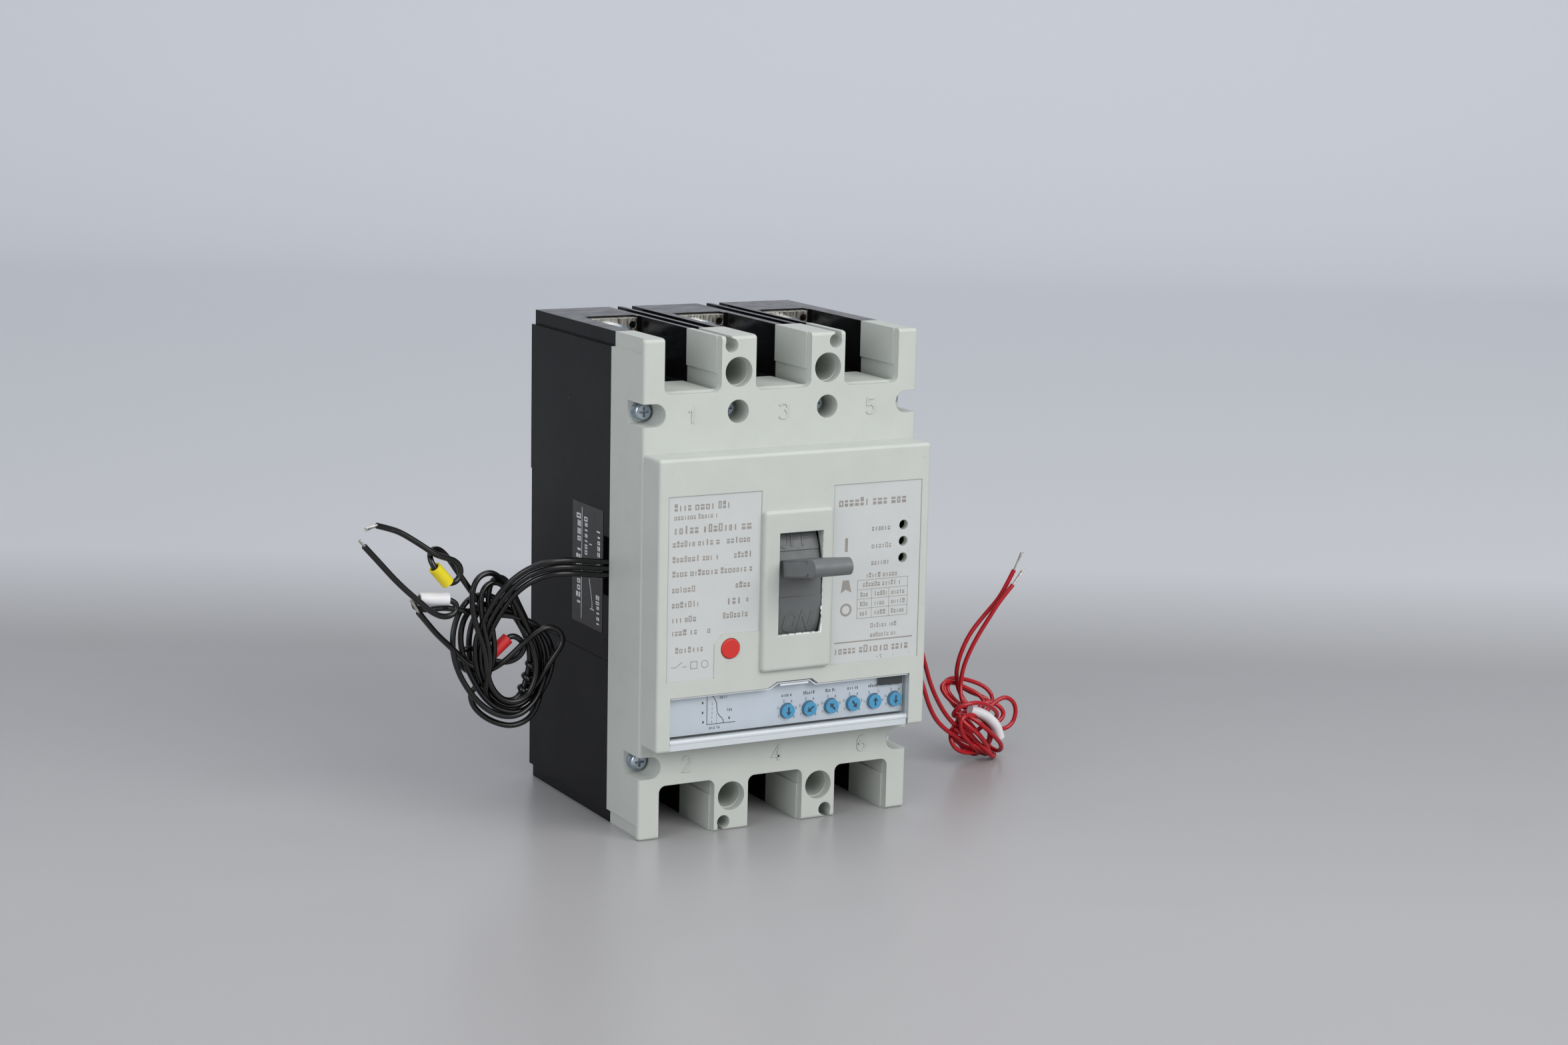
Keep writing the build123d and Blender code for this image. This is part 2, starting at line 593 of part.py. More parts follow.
def button_spring():
    """Return spring between the button's collar and its guide bracket."""
    length = 9.0
    turns = 6
    pitch = length / turns
    profile = [(1.7, 0)]
    for turn in range(turns):
        profile.append((2.6, turn * pitch))
        profile.append((3.0, (turn + 0.5) * pitch))
    profile.append((2.6, length))
    profile.append((1.7, length))
    solid = revolve(Plane.XZ * outline(*profile), Axis.Z)
    return Plane(origin=(BUTTON_X, -71.9, BUTTON_Z), z_dir=(0, -1, 0), x_dir=(1, 0, 0)) * solid


def button_guide():
    """Bracket that guides the button's stem."""
    body = block((BUTTON_X - 5.2, BUTTON_X + 5.2), (-71.8, -69.8), (BUTTON_Z - 5, BUTTON_Z + 5))
    for side in SIDES:
        x = BUTTON_X + side * 4.7
        body = body + block((x - 0.5, x + 0.5), (-88, -71.8), (BUTTON_Z - 5, BUTTON_Z + 5))
    return body - rod_y(BUTTON_X, -72, -69, BUTTON_Z, 1.5 + RUN)


def flux_release():
    """Magnetic release of the electronic trip unit."""
    body = block((16.8, 27.2), (-76, -58.5), (-22, -10))
    return body - rod_y(22, -77, -56, BUTTON_Z, 1.5 + RUN)


def flux_plunger():
    return rod_y(22, -75.5, -50.8, BUTTON_Z, 1.5)


def current_transformers():
    parts = []
    for pole in POLES:
        body = block((pole - 12, pole + 12), (-33, -5), (-47.3, -28))
        body = fillet(body.edges().filter_by(Axis.Z), 2.0)
        parts.append(body - block((pole - 5, pole + 5), (-23, -13), (-50, -26)))
    return group(parts)


def circuit_boards():
    """Trip unit board behind the dials and the small lamp board behind the right label."""
    board = block((-39.5, 38.5), (-82, -80.4), (-43, -31))
    for x0, x1 in ((-30, -20), (-12, -4)):
        board = board + block((x0, x1), (-80.4, -78.9), (-41, -34))
    lamp_board = block((31.5, 41.5), (-84.0, -82.4), (3.5, 20.5))
    return group([board, lamp_board])


def indicator_leds():
    parts = []
    for z in LED_Z:
        lamp = rod_y(LED_X, -87.4, -84, z, 1.45)
        parts.append(fillet(lamp.edges().group_by(Axis.Y)[0], 1.2))
    return group(parts)


def dial_switch_bodies():
    parts = []
    for x in DIAL_X:
        body = block((x - 3.0, x + 3.0), (-86, -82), (DIAL_Z - 3.5, DIAL_Z + 3.5))
        parts.append(body)
    return group(parts)


def dial_panel():
    panel = block((-41.0, 40.0), (-86.8, -86.0), (-42.0, -29.6))
    for x in DIAL_X:
        panel = panel - rod_y(x, -88, -85, DIAL_Z, 2.4)
    return panel


def dial(number):
    """Screwdriver-adjusted dial with an arrow-shaped recess."""
    x = DIAL_X[number]
    body = rod_y(x, -88.2, -86.05, DIAL_Z, 2.2)
    body = fillet(body.edges().group_by(Axis.Y)[0], 0.2)
    arrow = outline((-0.3, -1.3), (0.3, -1.3), (0.3, 0.2), (0.95, 0.2), (0, 1.4), (-0.95, 0.2),
                    (-0.3, 0.2))
    arrow = Pos(x, DIAL_Z) * Rot(0, 0, -DIAL_TURN[number]) * arrow
    return body - slab(arrow, -87.6, -89)


def test_port():
    return block((31.0, 39.0), (-88.2, -86.8), (-32.9, -29.7))


def flip_cover():
    """Clear lid over the dials: plate, thumb lip, hinge roll with pins and lower strip."""
    plate = outline((-41.0, -42.2), (39.9, -42.2), (39.9, -29.6), (7.6, -29.6), (5.5, -28.1),
                    (-5.2, -28.1), (-8.2, -29.6), (-41.0, -29.6))
    body = slab(plate, -88.7, -90.1)
    body = body + block((-5.0, 5.3), (-90.4, -90.0), (-29.2, -28.3))
    body = body + block((-41.0, 39.6), (-90.1, -88.7), (-45.4, -42.0))
    body = body + rod_x(-41.0, 39.6, HINGE_Y, HINGE_Z, 1.0)
    return body + rod_x(-41.8, 40.7, HINGE_Y, HINGE_Z, 0.75)


def cover_screws():
    """Cross recess pan head screws with washers; the middle pair sits deep in its holes."""
    parts = []
    for x, z in COVER_SCREWS:
        head = rod_y(x, -72.2, -70.0, z, 2.65)
        head = fillet(head.edges().group_by(Axis.Y)[0], 0.9)
        cross = block((x - 1.5, x + 1.5), (-73, -71.0), (z - 0.35, z + 0.35))
        cross = cross + block((x - 0.35, x + 0.35), (-73, -71.0), (z - 1.5, z + 1.5))
        washer = rod_y(x, -70.0, -69.4, z, 3.1)
        parts.append(head - cross + washer + rod_y(x, -69.4, -45, z, 1.42))
    for x, z in MIDDLE_SCREWS:
        head = rod_y(x, -73.2, -71.0, z, 2.65)
        head = fillet(head.edges().group_by(Axis.Y)[0], 0.9)
        cross = block((x - 1.5, x + 1.5), (-74, -72.0), (z - 0.35, z + 0.35))
        cross = cross + block((x - 0.35, x + 0.35), (-74, -72.0), (z - 1.5, z + 1.5))
        parts.append(head - cross + rod_y(x, -71.0, -45, z, 1.42))
    return group(parts)


# ---- Accessories and wiring ----
def auxiliary_switch():
    body = block((-42.9, -36.5), (-57.9, -46), (-4, 16))
    return body - block((-42, -37.5), (-47, -45), (0, 12))


def shunt_release():
    body = block((33.2, 42.9), (-57.9, -36), (-12, 14))
    return body - block((34.5, 41.5), (-38, -35), (-6, 8))


def wiring_label():
    return block((-45.8, -45.7), (-53.1, -31.3), (-17, 20.4))


def corner_radii(points):
    """Radius of each corner of a lead: as large as its two runs allow."""
    radii = []
    for before, corner, after in zip(points, points[1:], points[2:]):
        run_in = Vector(*corner) - Vector(*before)
        run_out = Vector(*after) - Vector(*corner)
        half_turn = radians(run_in.get_angle(run_out) / 2)
        radii.append(0.45 * min(run_in.length, run_out.length) / tan(half_turn))
    return radii


def lead(name, points, diameter):
    radii = corner_radii(points)
    path = FilletPolyline(*points, radius=radii)
    section = Plane(origin=path @ 0, z_dir=path % 0) * Circle(diameter / 2)
    tube = sweep(section, path=path)
    expected = pi * diameter ** 2 / 4 * path.length
    listed = " ".join(f"{radius:.1f}" for radius in radii)
    print(f"{name}: length {path.length:.1f}, volume ratio {tube.volume / expected:.4f}, radii {listed}")
    return tube


def aux_wire(number):
    name = f"aux_wire_{number + 1}"
    return group([lead(name + " lead", BLACK_LEADS[number], BLACK_D),
                  lead(name + " tail", BLACK_TAILS[number], BLACK_D)])


def aux_coil():
    """Outer shape of the loosely wound black wires."""
    ring = Pos(-71.8, -22.5) * (Rot(0, 0, 6) * (Ellipse(16.0, 22.5) - Ellipse(7.0, 12.0)))
    return slab(ring, -35.5, -44.5)


def aux_strands():
    parts = []
    for tail, tip in zip(BLACK_TAILS, BLACK_TIPS):
        parts.append(tube_between(tail[-1], tip, 0.45))
    return group(parts)


def sleeve(start, end, outer, inner):
    return tube_between(start, end, outer) - tube_between(start, end, inner)


def marker_sleeve_yellow():
    return sleeve((-98.9, -50.9, 6.9), (-94.5, -50.3, 1.8), 1.95, 1.35)


def marker_sleeve_white():
    return sleeve((-102.6, -48.1, -2.85), (-93.6, -48.3, -3.4), 1.95, 1.35)


def marker_sleeve_red():
    return sleeve((-77.3, -42.0, -23.2), (-71.8, -42.0, -18.6), 1.9, 1.3)


def shunt_wire(number):
    name = f"shunt_wire_{number + 1}"
    return group([lead(name + " lead", RED_LEADS[number], RED_D),
                  lead(name + " tail", RED_TAILS[number], RED_D)])


def shunt_bundle():
    """Outer shape of the wound and knotted red wires."""
    ball = block((86, 110), (-52, -29), (-74.9, -54))
    ball = fillet(ball.edges(), 7.0)
    back = block((90, 112), (-33, -21), (-67, -49))
    back = fillet(back.edges(), 4.5)
    loop = block((100, 117.5), (-42, -34), (-70, -57))
    loop = fillet(loop.edges(), 3.5)
    return ball + back + loop


def shunt_sleeve():
    path = FilletPolyline(*SHUNT_SLEEVE, radius=corner_radii(SHUNT_SLEEVE))
    section = Plane(origin=path @ 0, z_dir=path % 0) * Circle(1.7)
    return sweep(section, path=path)


def shunt_strands():
    parts = []
    for tail, tip in zip(RED_TAILS, RED_TIPS):
        parts.append(tube_between(tail[-1], tip, 0.4))
    return group(parts)


# ---- Output ----
PARTS = {
    "base": base,
    "front_cover": front_cover,
    "rear_insulation_plate": rear_insulation_plate,
    "line_terminals": line_terminals,
    "load_terminals": load_terminals,
    "terminal_screws": terminal_screws,
    "terminal_nuts": terminal_nuts,
    "arc_chute_frames": arc_chute_frames,
    "arc_splitter_plates": arc_splitter_plates,
    "contact_shaft": contact_shaft,
    "crank_pins": crank_pins,
    "flexible_braids": flexible_braids,
    "mechanism_plates": mechanism_plates,
    "mechanism_pins": mechanism_pins,
    "handle": handle,
    "handle_yoke": handle_yoke,
    "latch_cradle": latch_cradle,
    "upper_links": upper_links,
    "lower_links": lower_links,
    "toggle_pin": toggle_pin,
    "main_springs": main_springs,
    "trip_bar": trip_bar,
    "push_to_trip_button": push_to_trip_button,
    "button_spring": button_spring,
    "button_guide": button_guide,
    "flux_release": flux_release,
    "flux_plunger": flux_plunger,
    "current_transformers": current_transformers,
    "circuit_boards": circuit_boards,
    "indicator_leds": indicator_leds,
    "dial_switch_bodies": dial_switch_bodies,
    "dial_panel": dial_panel,
    "test_port": test_port,
    "flip_cover": flip_cover,
    "cover_screws": cover_screws,
    "auxiliary_switch": auxiliary_switch,
    "shunt_release": shunt_release,
    "wiring_label": wiring_label,
    "aux_coil": aux_coil,
    "aux_strands": aux_strands,
    "marker_sleeve_yellow": marker_sleeve_yellow,
    "marker_sleeve_white": marker_sleeve_white,
    "marker_sleeve_red": marker_sleeve_red,
    "shunt_bundle": shunt_bundle,
    "shunt_sleeve": shunt_sleeve,
    "shunt_strands": shunt_strands,
}


def write(name, shape):
    export_step(shape, f"parts/{name}.step")


os.makedirs("parts", exist_ok=True)
for part_name, make in PARTS.items():
    write(part_name, make())
for index, pole_x in enumerate(POLES):
    write(f"moving_contact_{index + 1}", moving_contact(pole_x))
for index in range(len(DIAL_X)):
    write(f"dial_{index + 1}", dial(index))
for index in range(len(BLACK_LEADS)):
    write(f"aux_wire_{index + 1}", aux_wire(index))
for index in range(len(RED_LEADS)):
    write(f"shunt_wire_{index + 1}", shunt_wire(index))
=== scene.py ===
import json
from math import cos, pi, radians, sin
from random import Random

import bmesh
import bpy
from mathutils import Matrix, Vector


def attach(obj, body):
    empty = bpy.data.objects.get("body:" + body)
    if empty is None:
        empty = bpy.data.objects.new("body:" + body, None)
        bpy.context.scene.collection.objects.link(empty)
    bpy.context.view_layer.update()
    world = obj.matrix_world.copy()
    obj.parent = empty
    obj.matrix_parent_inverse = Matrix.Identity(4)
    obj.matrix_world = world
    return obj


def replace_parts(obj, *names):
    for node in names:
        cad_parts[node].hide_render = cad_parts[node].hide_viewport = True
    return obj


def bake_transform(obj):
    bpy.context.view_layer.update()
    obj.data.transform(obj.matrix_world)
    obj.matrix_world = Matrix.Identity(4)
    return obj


# Looks of the three pole moulded case circuit breaker. Lengths are in millimetres, and are turned
# into metres where a mesh, curve or material is made. The camera and the lights are in metres.
MM = 0.001
FLOOR_Z = -75.0

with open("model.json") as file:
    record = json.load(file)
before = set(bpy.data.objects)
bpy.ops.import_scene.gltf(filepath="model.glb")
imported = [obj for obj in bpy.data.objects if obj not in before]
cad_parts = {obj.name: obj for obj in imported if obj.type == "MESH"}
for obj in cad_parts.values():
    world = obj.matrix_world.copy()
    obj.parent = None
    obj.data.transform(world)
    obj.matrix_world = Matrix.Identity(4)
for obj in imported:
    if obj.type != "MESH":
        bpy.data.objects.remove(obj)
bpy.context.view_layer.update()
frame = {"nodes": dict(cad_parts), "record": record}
nodes = frame["nodes"]


# ---- Materials ----
def tint(red, green, blue):
    """An sRGB colour from 0 to 255 as linear RGBA."""
    linear = []
    for value in (red, green, blue):
        share = value / 255
        linear.append(share / 12.92 if share <= 0.04045 else ((share + 0.055) / 1.055) ** 2.4)
    return (*linear, 1.0)


DUST = tint(196, 194, 188)
DUST_FILM_SIZE = 17.0
SPECK_SPACING, SPECK_RADIUS = 5.3, 0.16
EVEN = (1, 1, 1)


class Graph:
    """Short calls for building a material's nodes."""

    def __init__(self, name):
        self.material = bpy.data.materials.new(name)
        self.material.use_nodes = True
        self.tree = self.material.node_tree
        self.shader = self.tree.nodes["Principled BSDF"]
        self.output = self.tree.nodes["Material Output"]
        self.place = self.node("ShaderNodeTexCoord").outputs["Object"]

    def node(self, kind, **settings):
        """A new node with its own settings made."""
        made = self.tree.nodes.new(kind)
        for key, value in settings.items():
            setattr(made, key, value)
        return made

    def feed(self, socket, value):
        """Links the socket to another socket, or sets it to a constant."""
        if isinstance(value, bpy.types.NodeSocket):
            self.tree.links.new(value, socket)
        else:
            socket.default_value = value

    def sets(self, socket, value):
        """Feeds one socket of the material's shader."""
        self.feed(self.shader.inputs[socket], value)

    def cells(self, size):
        """Distance to the nearest of scattered points, in units of that size."""
        cells = self.node("ShaderNodeTexVoronoi")
        self.feed(cells.inputs["Vector"], self.place)
        cells.inputs["Scale"].default_value = 1 / (size * MM)
        return cells.outputs["Distance"]

    def noise(self, size, detail=3.0, stretch=EVEN):
        """Noise with features of about that size in millimetres."""
        mapping = self.node("ShaderNodeMapping")
        self.feed(mapping.inputs["Vector"], self.place)
        mapping.inputs["Scale"].default_value = stretch
        noise = self.node("ShaderNodeTexNoise")
        self.feed(noise.inputs["Vector"], mapping.outputs["Vector"])
        noise.inputs["Scale"].default_value = 1 / (size * MM)
        noise.inputs["Detail"].default_value = detail
        return noise.outputs["Fac"]

    def specks(self, spacing, radius):
        """1 inside scattered round specks, 0 elsewhere."""
        return self.ranged(self.cells(spacing), radius / spacing, 0.6 * radius / spacing, 0, 1)

    def ranged(self, value, low, high, to_low, to_high):
        """The value carried from one range to another and kept inside it."""
        span = self.node("ShaderNodeMapRange")
        for socket, entry in zip(span.inputs, (value, low, high, to_low, to_high)):
            self.feed(socket, entry)
        return span.outputs["Result"]

    def maths(self, operation, first, second):
        """One sum or product of two values."""
        step = self.node("ShaderNodeMath", operation=operation)
        self.feed(step.inputs[0], first)
        self.feed(step.inputs[1], second)
        return step.outputs[0]

    def blend(self, share, first, second):
        """The first colour, with that share of the second."""
        mix = self.node("ShaderNodeMix", data_type="RGBA")
        self.feed(mix.inputs[0], share)
        self.feed(mix.inputs[6], first)
        self.feed(mix.inputs[7], second)
        return mix.outputs[2]

    def coordinate(self, axis):
        """Place along one axis, in metres."""
        split = self.node("ShaderNodeSeparateXYZ")
        self.feed(split.inputs[0], self.place)
        return split.outputs[axis]


def surface(name, colour, rough=(0.35, 0.5), metallic=0.0, mottle=0.06, mottle_size=9.0,
            grain=0.35, relief=0.012, dust=0.0, specks=0.0, edge=0.0, streaks=EVEN, shade=None,
            **sockets):
    """Material with mottled colour, uneven roughness, fine relief, dust film and specks. The sizes
    of the mottling, the grain, the relief and the rounded edge are in millimetres."""
    graph = Graph(name)
    cloud = graph.noise(mottle_size)
    channels = tint(*colour)[:3]
    darker = tuple(channel * (1 - 2.2 * mottle) for channel in channels) + (1.0,)
    lighter = tuple(min(channel * (1 + 1.4 * mottle), 1.0) for channel in channels) + (1.0,)
    paint = graph.blend(graph.ranged(cloud, 0.3, 0.7, 0, 1), darker, lighter)
    if shade:
        paint = shade(graph, paint)
    if dust:
        film = graph.ranged(graph.noise(DUST_FILM_SIZE, 6.0), 0.42, 0.72, 0.15 * dust, dust)
        paint = graph.blend(film, paint, DUST)
    if specks:
        spot = graph.maths("MULTIPLY", graph.specks(SPECK_SPACING, SPECK_RADIUS), specks)
        paint = graph.blend(spot, paint, DUST)
    graph.sets("Base Color", paint)
    patch = graph.noise(4.0, 5.0, streaks)
    graph.sets("Roughness", graph.ranged(patch, 0.35, 0.65, *rough))
    graph.sets("Metallic", metallic)
    bump = graph.node("ShaderNodeBump")
    bump.inputs["Distance"].default_value = relief * MM
    graph.feed(bump.inputs["Height"], graph.noise(grain, 2.0, streaks))
    if edge:
        corner = graph.node("ShaderNodeBevel", samples=4)
        corner.inputs["Radius"].default_value = edge * MM
        graph.feed(bump.inputs["Normal"], corner.outputs["Normal"])
    graph.sets("Normal", bump.outputs["Normal"])
    for socket, value in sockets.items():
        graph.sets(socket, value)
    return graph.material


def scuffed(graph, paint):
    """Thin pale scuffs and rub marks in a dark moulding."""
    lines = graph.noise(1.6, 2.0, (0.25, 0.25, 5.0))
    worn = graph.ranged(lines, 0.68, 0.74, 0, 0.05)
    return graph.blend(worn, paint, tint(120, 120, 122))


def grimy(graph, paint):
    """Faint stains from handling on a light moulding."""
    marks = graph.ranged(graph.noise(2.4, 6.0), 0.66, 0.8, 0, 0.16)
    return graph.blend(marks, paint, tint(150, 146, 138))


def sparkle(graph, paint):
    """Metal flakes of a silver print."""
    flake_size = 0.16
    lit = graph.ranged(graph.cells(flake_size), 0.55, 0.95, 0, 0.5)
    return graph.blend(lit, paint, tint(246, 249, 252))


def dark_recess(graph, paint):
    """Shadowed floor of a dial's arrow, in the band of depth behind the dial's front face."""
    depth = graph.coordinate(1)
    behind_face = graph.ranged(depth, -88.0 * MM, -87.75 * MM, 0, 1)
    before_seat = graph.ranged(depth, -87.5 * MM, -87.3 * MM, 1, 0)
    return graph.blend(graph.maths("MULTIPLY", behind_face, before_seat), paint, tint(20, 52, 88))


def clear_plastic():
    """Clear moulding: mostly see-through, with a gloss that grows at grazing angles, and painted
    whiter along its foot as a painted sheen of light on its lower strip."""
    sheen_start, sheen_full = -42.0, -42.3
    graph = Graph("clear_plastic")
    graph.sets("Base Color", tint(236, 242, 246))
    patch = graph.noise(6.0, 4.0)
    graph.sets("Roughness", graph.ranged(patch, 0.3, 0.7, 0.04, 0.12))
    through = graph.node("ShaderNodeBsdfTransparent")
    through.inputs["Color"].default_value = tint(252, 253, 254)
    gloss = graph.node("ShaderNodeFresnel")
    gloss.inputs["IOR"].default_value = 1.45
    # Painted sheen: towards its foot the lid is mixed more with the white gloss shader
    foot_sheen = graph.ranged(graph.coordinate(2), sheen_start * MM, sheen_full * MM, 0, 0.55)
    share = graph.maths("ADD", graph.maths("MULTIPLY", gloss.outputs[0], 0.8), foot_sheen)
    mix = graph.node("ShaderNodeMixShader")
    graph.feed(mix.inputs[0], share)
    graph.feed(mix.inputs[1], through.outputs[0])
    graph.feed(mix.inputs[2], graph.shader.outputs[0])
    graph.feed(graph.output.inputs["Surface"], mix.outputs[0])
    return graph.material


def look(*entries, **settings):
    """A row of LOOKS: what surface takes after the name."""
    return entries, settings


LOOKS = {
    "case_black": look((14, 14, 15), (0.13, 0.23), mottle=0.08, mottle_size=14.0, grain=0.9,
                       relief=0.005, dust=0.008, specks=0.35, edge=0.22, shade=scuffed,
                       **{"Specular IOR Level": 0.09}),
    "cover_grey": look((194, 198, 192), (0.42, 0.56), mottle=0.012, grain=0.45, relief=0.012,
                       specks=0.12, edge=0.25, shade=grimy),
    "insulation_board": look((58, 50, 44), (0.55, 0.7), grain=0.4, relief=0.04),
    "nickel": look((205, 200, 190), (0.22, 0.42), 1.0, mottle=0.05, streaks=(6, 1, 1),
                   relief=0.008, edge=0.15),
    "zinc": look((186, 196, 206), (0.2, 0.36), 1.0, mottle=0.08, mottle_size=2.0, relief=0.01,
                 edge=0.12),
    "fibre": look((150, 62, 44), (0.6, 0.75), grain=0.5, relief=0.04),
    "steel": look((168, 168, 166), (0.25, 0.42), 1.0, streaks=(1, 1, 5), relief=0.008, edge=0.1),
    "copper": look((196, 118, 78), (0.3, 0.5), 1.0, mottle=0.1, mottle_size=3.0, grain=0.3,
                   relief=0.05),
    "handle_grey": look((104, 107, 108), (0.42, 0.56), mottle=0.03, mottle_size=5.0, grain=0.3,
                        relief=0.02, specks=0.25, edge=0.3),
    "spring_steel": look((150, 150, 152), (0.22, 0.34), 1.0, relief=0.006),
    "button_red": look((206, 44, 36), (0.34, 0.46), mottle=0.03, grain=0.3, relief=0.008,
                       edge=0.3),
    "transformer_resin": look((40, 66, 96), (0.3, 0.45), grain=0.8, relief=0.03),
    "board_green": look((24, 88, 52), (0.3, 0.45), mottle_size=2.0, relief=0.01),
    "led_lens": look((22, 22, 24), (0.12, 0.2), relief=0.002, edge=0.2),
    "panel_silver": look((226, 231, 236), (0.3, 0.42), mottle=0.02, grain=0.14, relief=0.01,
                         shade=sparkle),
    "label_film": look((24, 22, 23), (0.22, 0.32), mottle=0.05, grain=0.6, relief=0.004,
                       dust=0.01),
    "wire_black": look((13, 13, 14), (0.18, 0.28), mottle=0.1, mottle_size=6.0, grain=0.6,
                       relief=0.006, specks=0.2),
    "wire_red": look((178, 15, 29), (0.2, 0.32), mottle=0.05, mottle_size=7.0, grain=0.6,
                     relief=0.006),
    "tinned_copper": look((212, 208, 203), (0.25, 0.4), 1.0, mottle=0.12, mottle_size=1.2,
                          relief=0.01),
    "sleeve_yellow": look((232, 212, 30), (0.4, 0.5), mottle=0.03, relief=0.01, edge=0.15),
    "sleeve_white": look((226, 226, 230), (0.4, 0.5), mottle=0.02, relief=0.01, edge=0.15),
    "sleeve_red": look((206, 34, 38), (0.4, 0.5), mottle=0.03, relief=0.01, edge=0.15),
    "dial_blue": look((54, 168, 214), (0.38, 0.5), mottle=0.02, grain=0.3, relief=0.006, edge=0.12,
                      shade=dark_recess),
}
MATERIALS = {name: surface(name, *entries, **settings)
             for name, (entries, settings) in LOOKS.items()}
MATERIALS["clear_plastic"] = clear_plastic()
for row in frame["record"]["subparts"]:
    for material_slot in nodes[row["node"]].material_slots:
        material_slot.material = MATERIALS[row["material_slot"]]



def ink(name, colour, mottle=0.06):
    """Matt printing ink."""
    return surface(name, colour, (0.5, 0.6), mottle=mottle, grain=0.2, relief=0.004)


LABEL_FACE = surface("label_face", (197, 200, 199), (0.32, 0.42), mottle=0.01, grain=0.8,
                     relief=0.004)
INK_GREY = ink("ink_grey", (150, 146, 141))
INK_BLACK = ink("ink_black", (52, 54, 58))
INK_WHITE = ink("ink_white", (216, 216, 220), 0.04)
# Painted highlight: whitish paint for the strips along the clear lid's edges
LID_HIGHLIGHT_PAINT = surface("lid_highlight_paint", (226, 231, 235), (0.12, 0.2), mottle=0.03, grain=0.5,
                     relief=0.004)
FLASH_WHITE = surface("flash_white", (228, 230, 228), (0.45, 0.6), mottle=0.02, grain=0.2,
                      relief=0.02)


# ---- Camera, floor and lights ----
CAMERA_PLACE = (-0.413884, -0.834383, 0.180121)
AZIMUTH, ELEVATION, ROLL = radians(-28.8173), radians(10.6446), radians(1.2597)
LENS, SENSOR_WIDTH = 67.32, 36
# Directions of the floor's length and width
AHEAD, ASIDE = Vector((0.482, 0.876, 0)), Vector((0.876, -0.482, 0))
# Painted shade: the floor's colour darkens towards the seam. Painted light: the two lighter
# backdrop colours further back stand in for the light on a wall.
FLOOR_NEAR, FLOOR_PAINTED_SHADE = tint(177, 176, 177), tint(158, 158, 159)
BACK_PAINTED_LIGHT_NEAR, BACK_PAINTED_LIGHT_FAR = tint(209, 211, 214), tint(231, 233, 238)
WORLD_COLOUR, WORLD_STRENGTH = tint(228, 232, 240), 0.46


scene = bpy.context.scene


def linked(name, data):
    """A new object in the scene."""
    made = bpy.data.objects.new(name, data)
    scene.collection.objects.link(made)
    return made


back = Vector((sin(AZIMUTH) * cos(ELEVATION), -cos(AZIMUTH) * cos(ELEVATION), sin(ELEVATION)))
right = (-back).cross(Vector((0, 0, 1))).normalized()
up = right.cross(-back)
camera_data = bpy.data.cameras.new("camera")
camera_data.lens = LENS
camera_data.sensor_width = SENSOR_WIDTH
camera_data.clip_start = 0.01
camera = linked("camera", camera_data)
columns = (cos(ROLL) * right + sin(ROLL) * up, cos(ROLL) * up - sin(ROLL) * right, back,
           Vector(CAMERA_PLACE))
rows = [[column[row] for column in columns] for row in range(3)]
camera.matrix_world = Matrix(rows + [[0, 0, 0, 1]])
bpy.context.scene.camera = camera
scene.view_settings.view_transform = "Standard"


def studio_paint():
    """Smooth grey with faint stains. It darkens towards about 120 mm back as painted shade of a
    seam, then turns lighter and matt further back as painted light of a wall, and lighter still
    far off where the lamps' light falls off.
    """
    graph = Graph("backdrop")
    along = graph.node("ShaderNodeVectorMath", operation="DOT_PRODUCT")
    graph.feed(along.inputs[0], graph.place)
    along.inputs[1].default_value = AHEAD
    reach = along.outputs["Value"]
    # Painted shade on the floor up to the seam, then painted light further back
    near = graph.ranged(reach, -150 * MM, 120 * MM, 0, 1)
    rise = graph.ranged(reach, 130 * MM, 330 * MM, 0, 1)
    far = graph.ranged(reach, 330 * MM, 1500 * MM, 0, 1)
    floor = graph.blend(near, FLOOR_NEAR, FLOOR_PAINTED_SHADE)
    stain = graph.ranged(graph.noise(55.0, 4.0), 0.56, 0.8, 0, 0.12)
    floor = graph.blend(stain, floor, tint(150, 148, 142))
    paint = graph.blend(rise, floor, BACK_PAINTED_LIGHT_NEAR)
    graph.sets("Base Color", graph.blend(far, paint, BACK_PAINTED_LIGHT_FAR))
    graph.sets("Roughness", graph.ranged(rise, 0, 0.3, 0.3, 0.8))
    graph.sets("Specular IOR Level", 0.35)
    return graph.material


def backdrop():
    """Long floor that curves up into a wall, far enough off to leave the rear views free."""
    flat_end, bend, half_width, bend_steps = 1500, 300, 3000, 12
    profile = [(reach, FLOOR_Z) for reach in (-2400, -600, 0, 600, flat_end)]
    for step in range(1, bend_steps + 1):
        angle = radians(90 / bend_steps * step)
        profile.append((flat_end + bend * sin(angle), FLOOR_Z + bend * (1 - cos(angle))))
    profile += [(flat_end + bend, 700), (flat_end + bend, 1600)]
    points, faces = [], []
    for reach, height in profile:
        for side in (-half_width, half_width):
            spot = (AHEAD * reach + ASIDE * side) * MM
            points.append((spot.x, spot.y, height * MM))
    for row in range(len(profile) - 1):
        faces.append((2 * row, 2 * row + 1, 2 * row + 3, 2 * row + 2))
    mesh = bpy.data.meshes.new("backdrop")
    mesh.from_pydata(points, [], faces)
    for face in mesh.polygons:
        face.use_smooth = True
    mesh.materials.append(studio_paint())
    linked("backdrop", mesh)


def softbox(name, place, target, size, power, colour):
    """Rectangular light that faces a target."""
    light = bpy.data.lights.new(name, "AREA")
    light.shape = "RECTANGLE"
    light.size, light.size_y = size
    light.energy = power
    light.color = colour
    made = linked(name, light)
    made.location = place
    made.rotation_euler = (Vector(target) - Vector(place)).to_track_quat("-Z", "Y").to_euler()


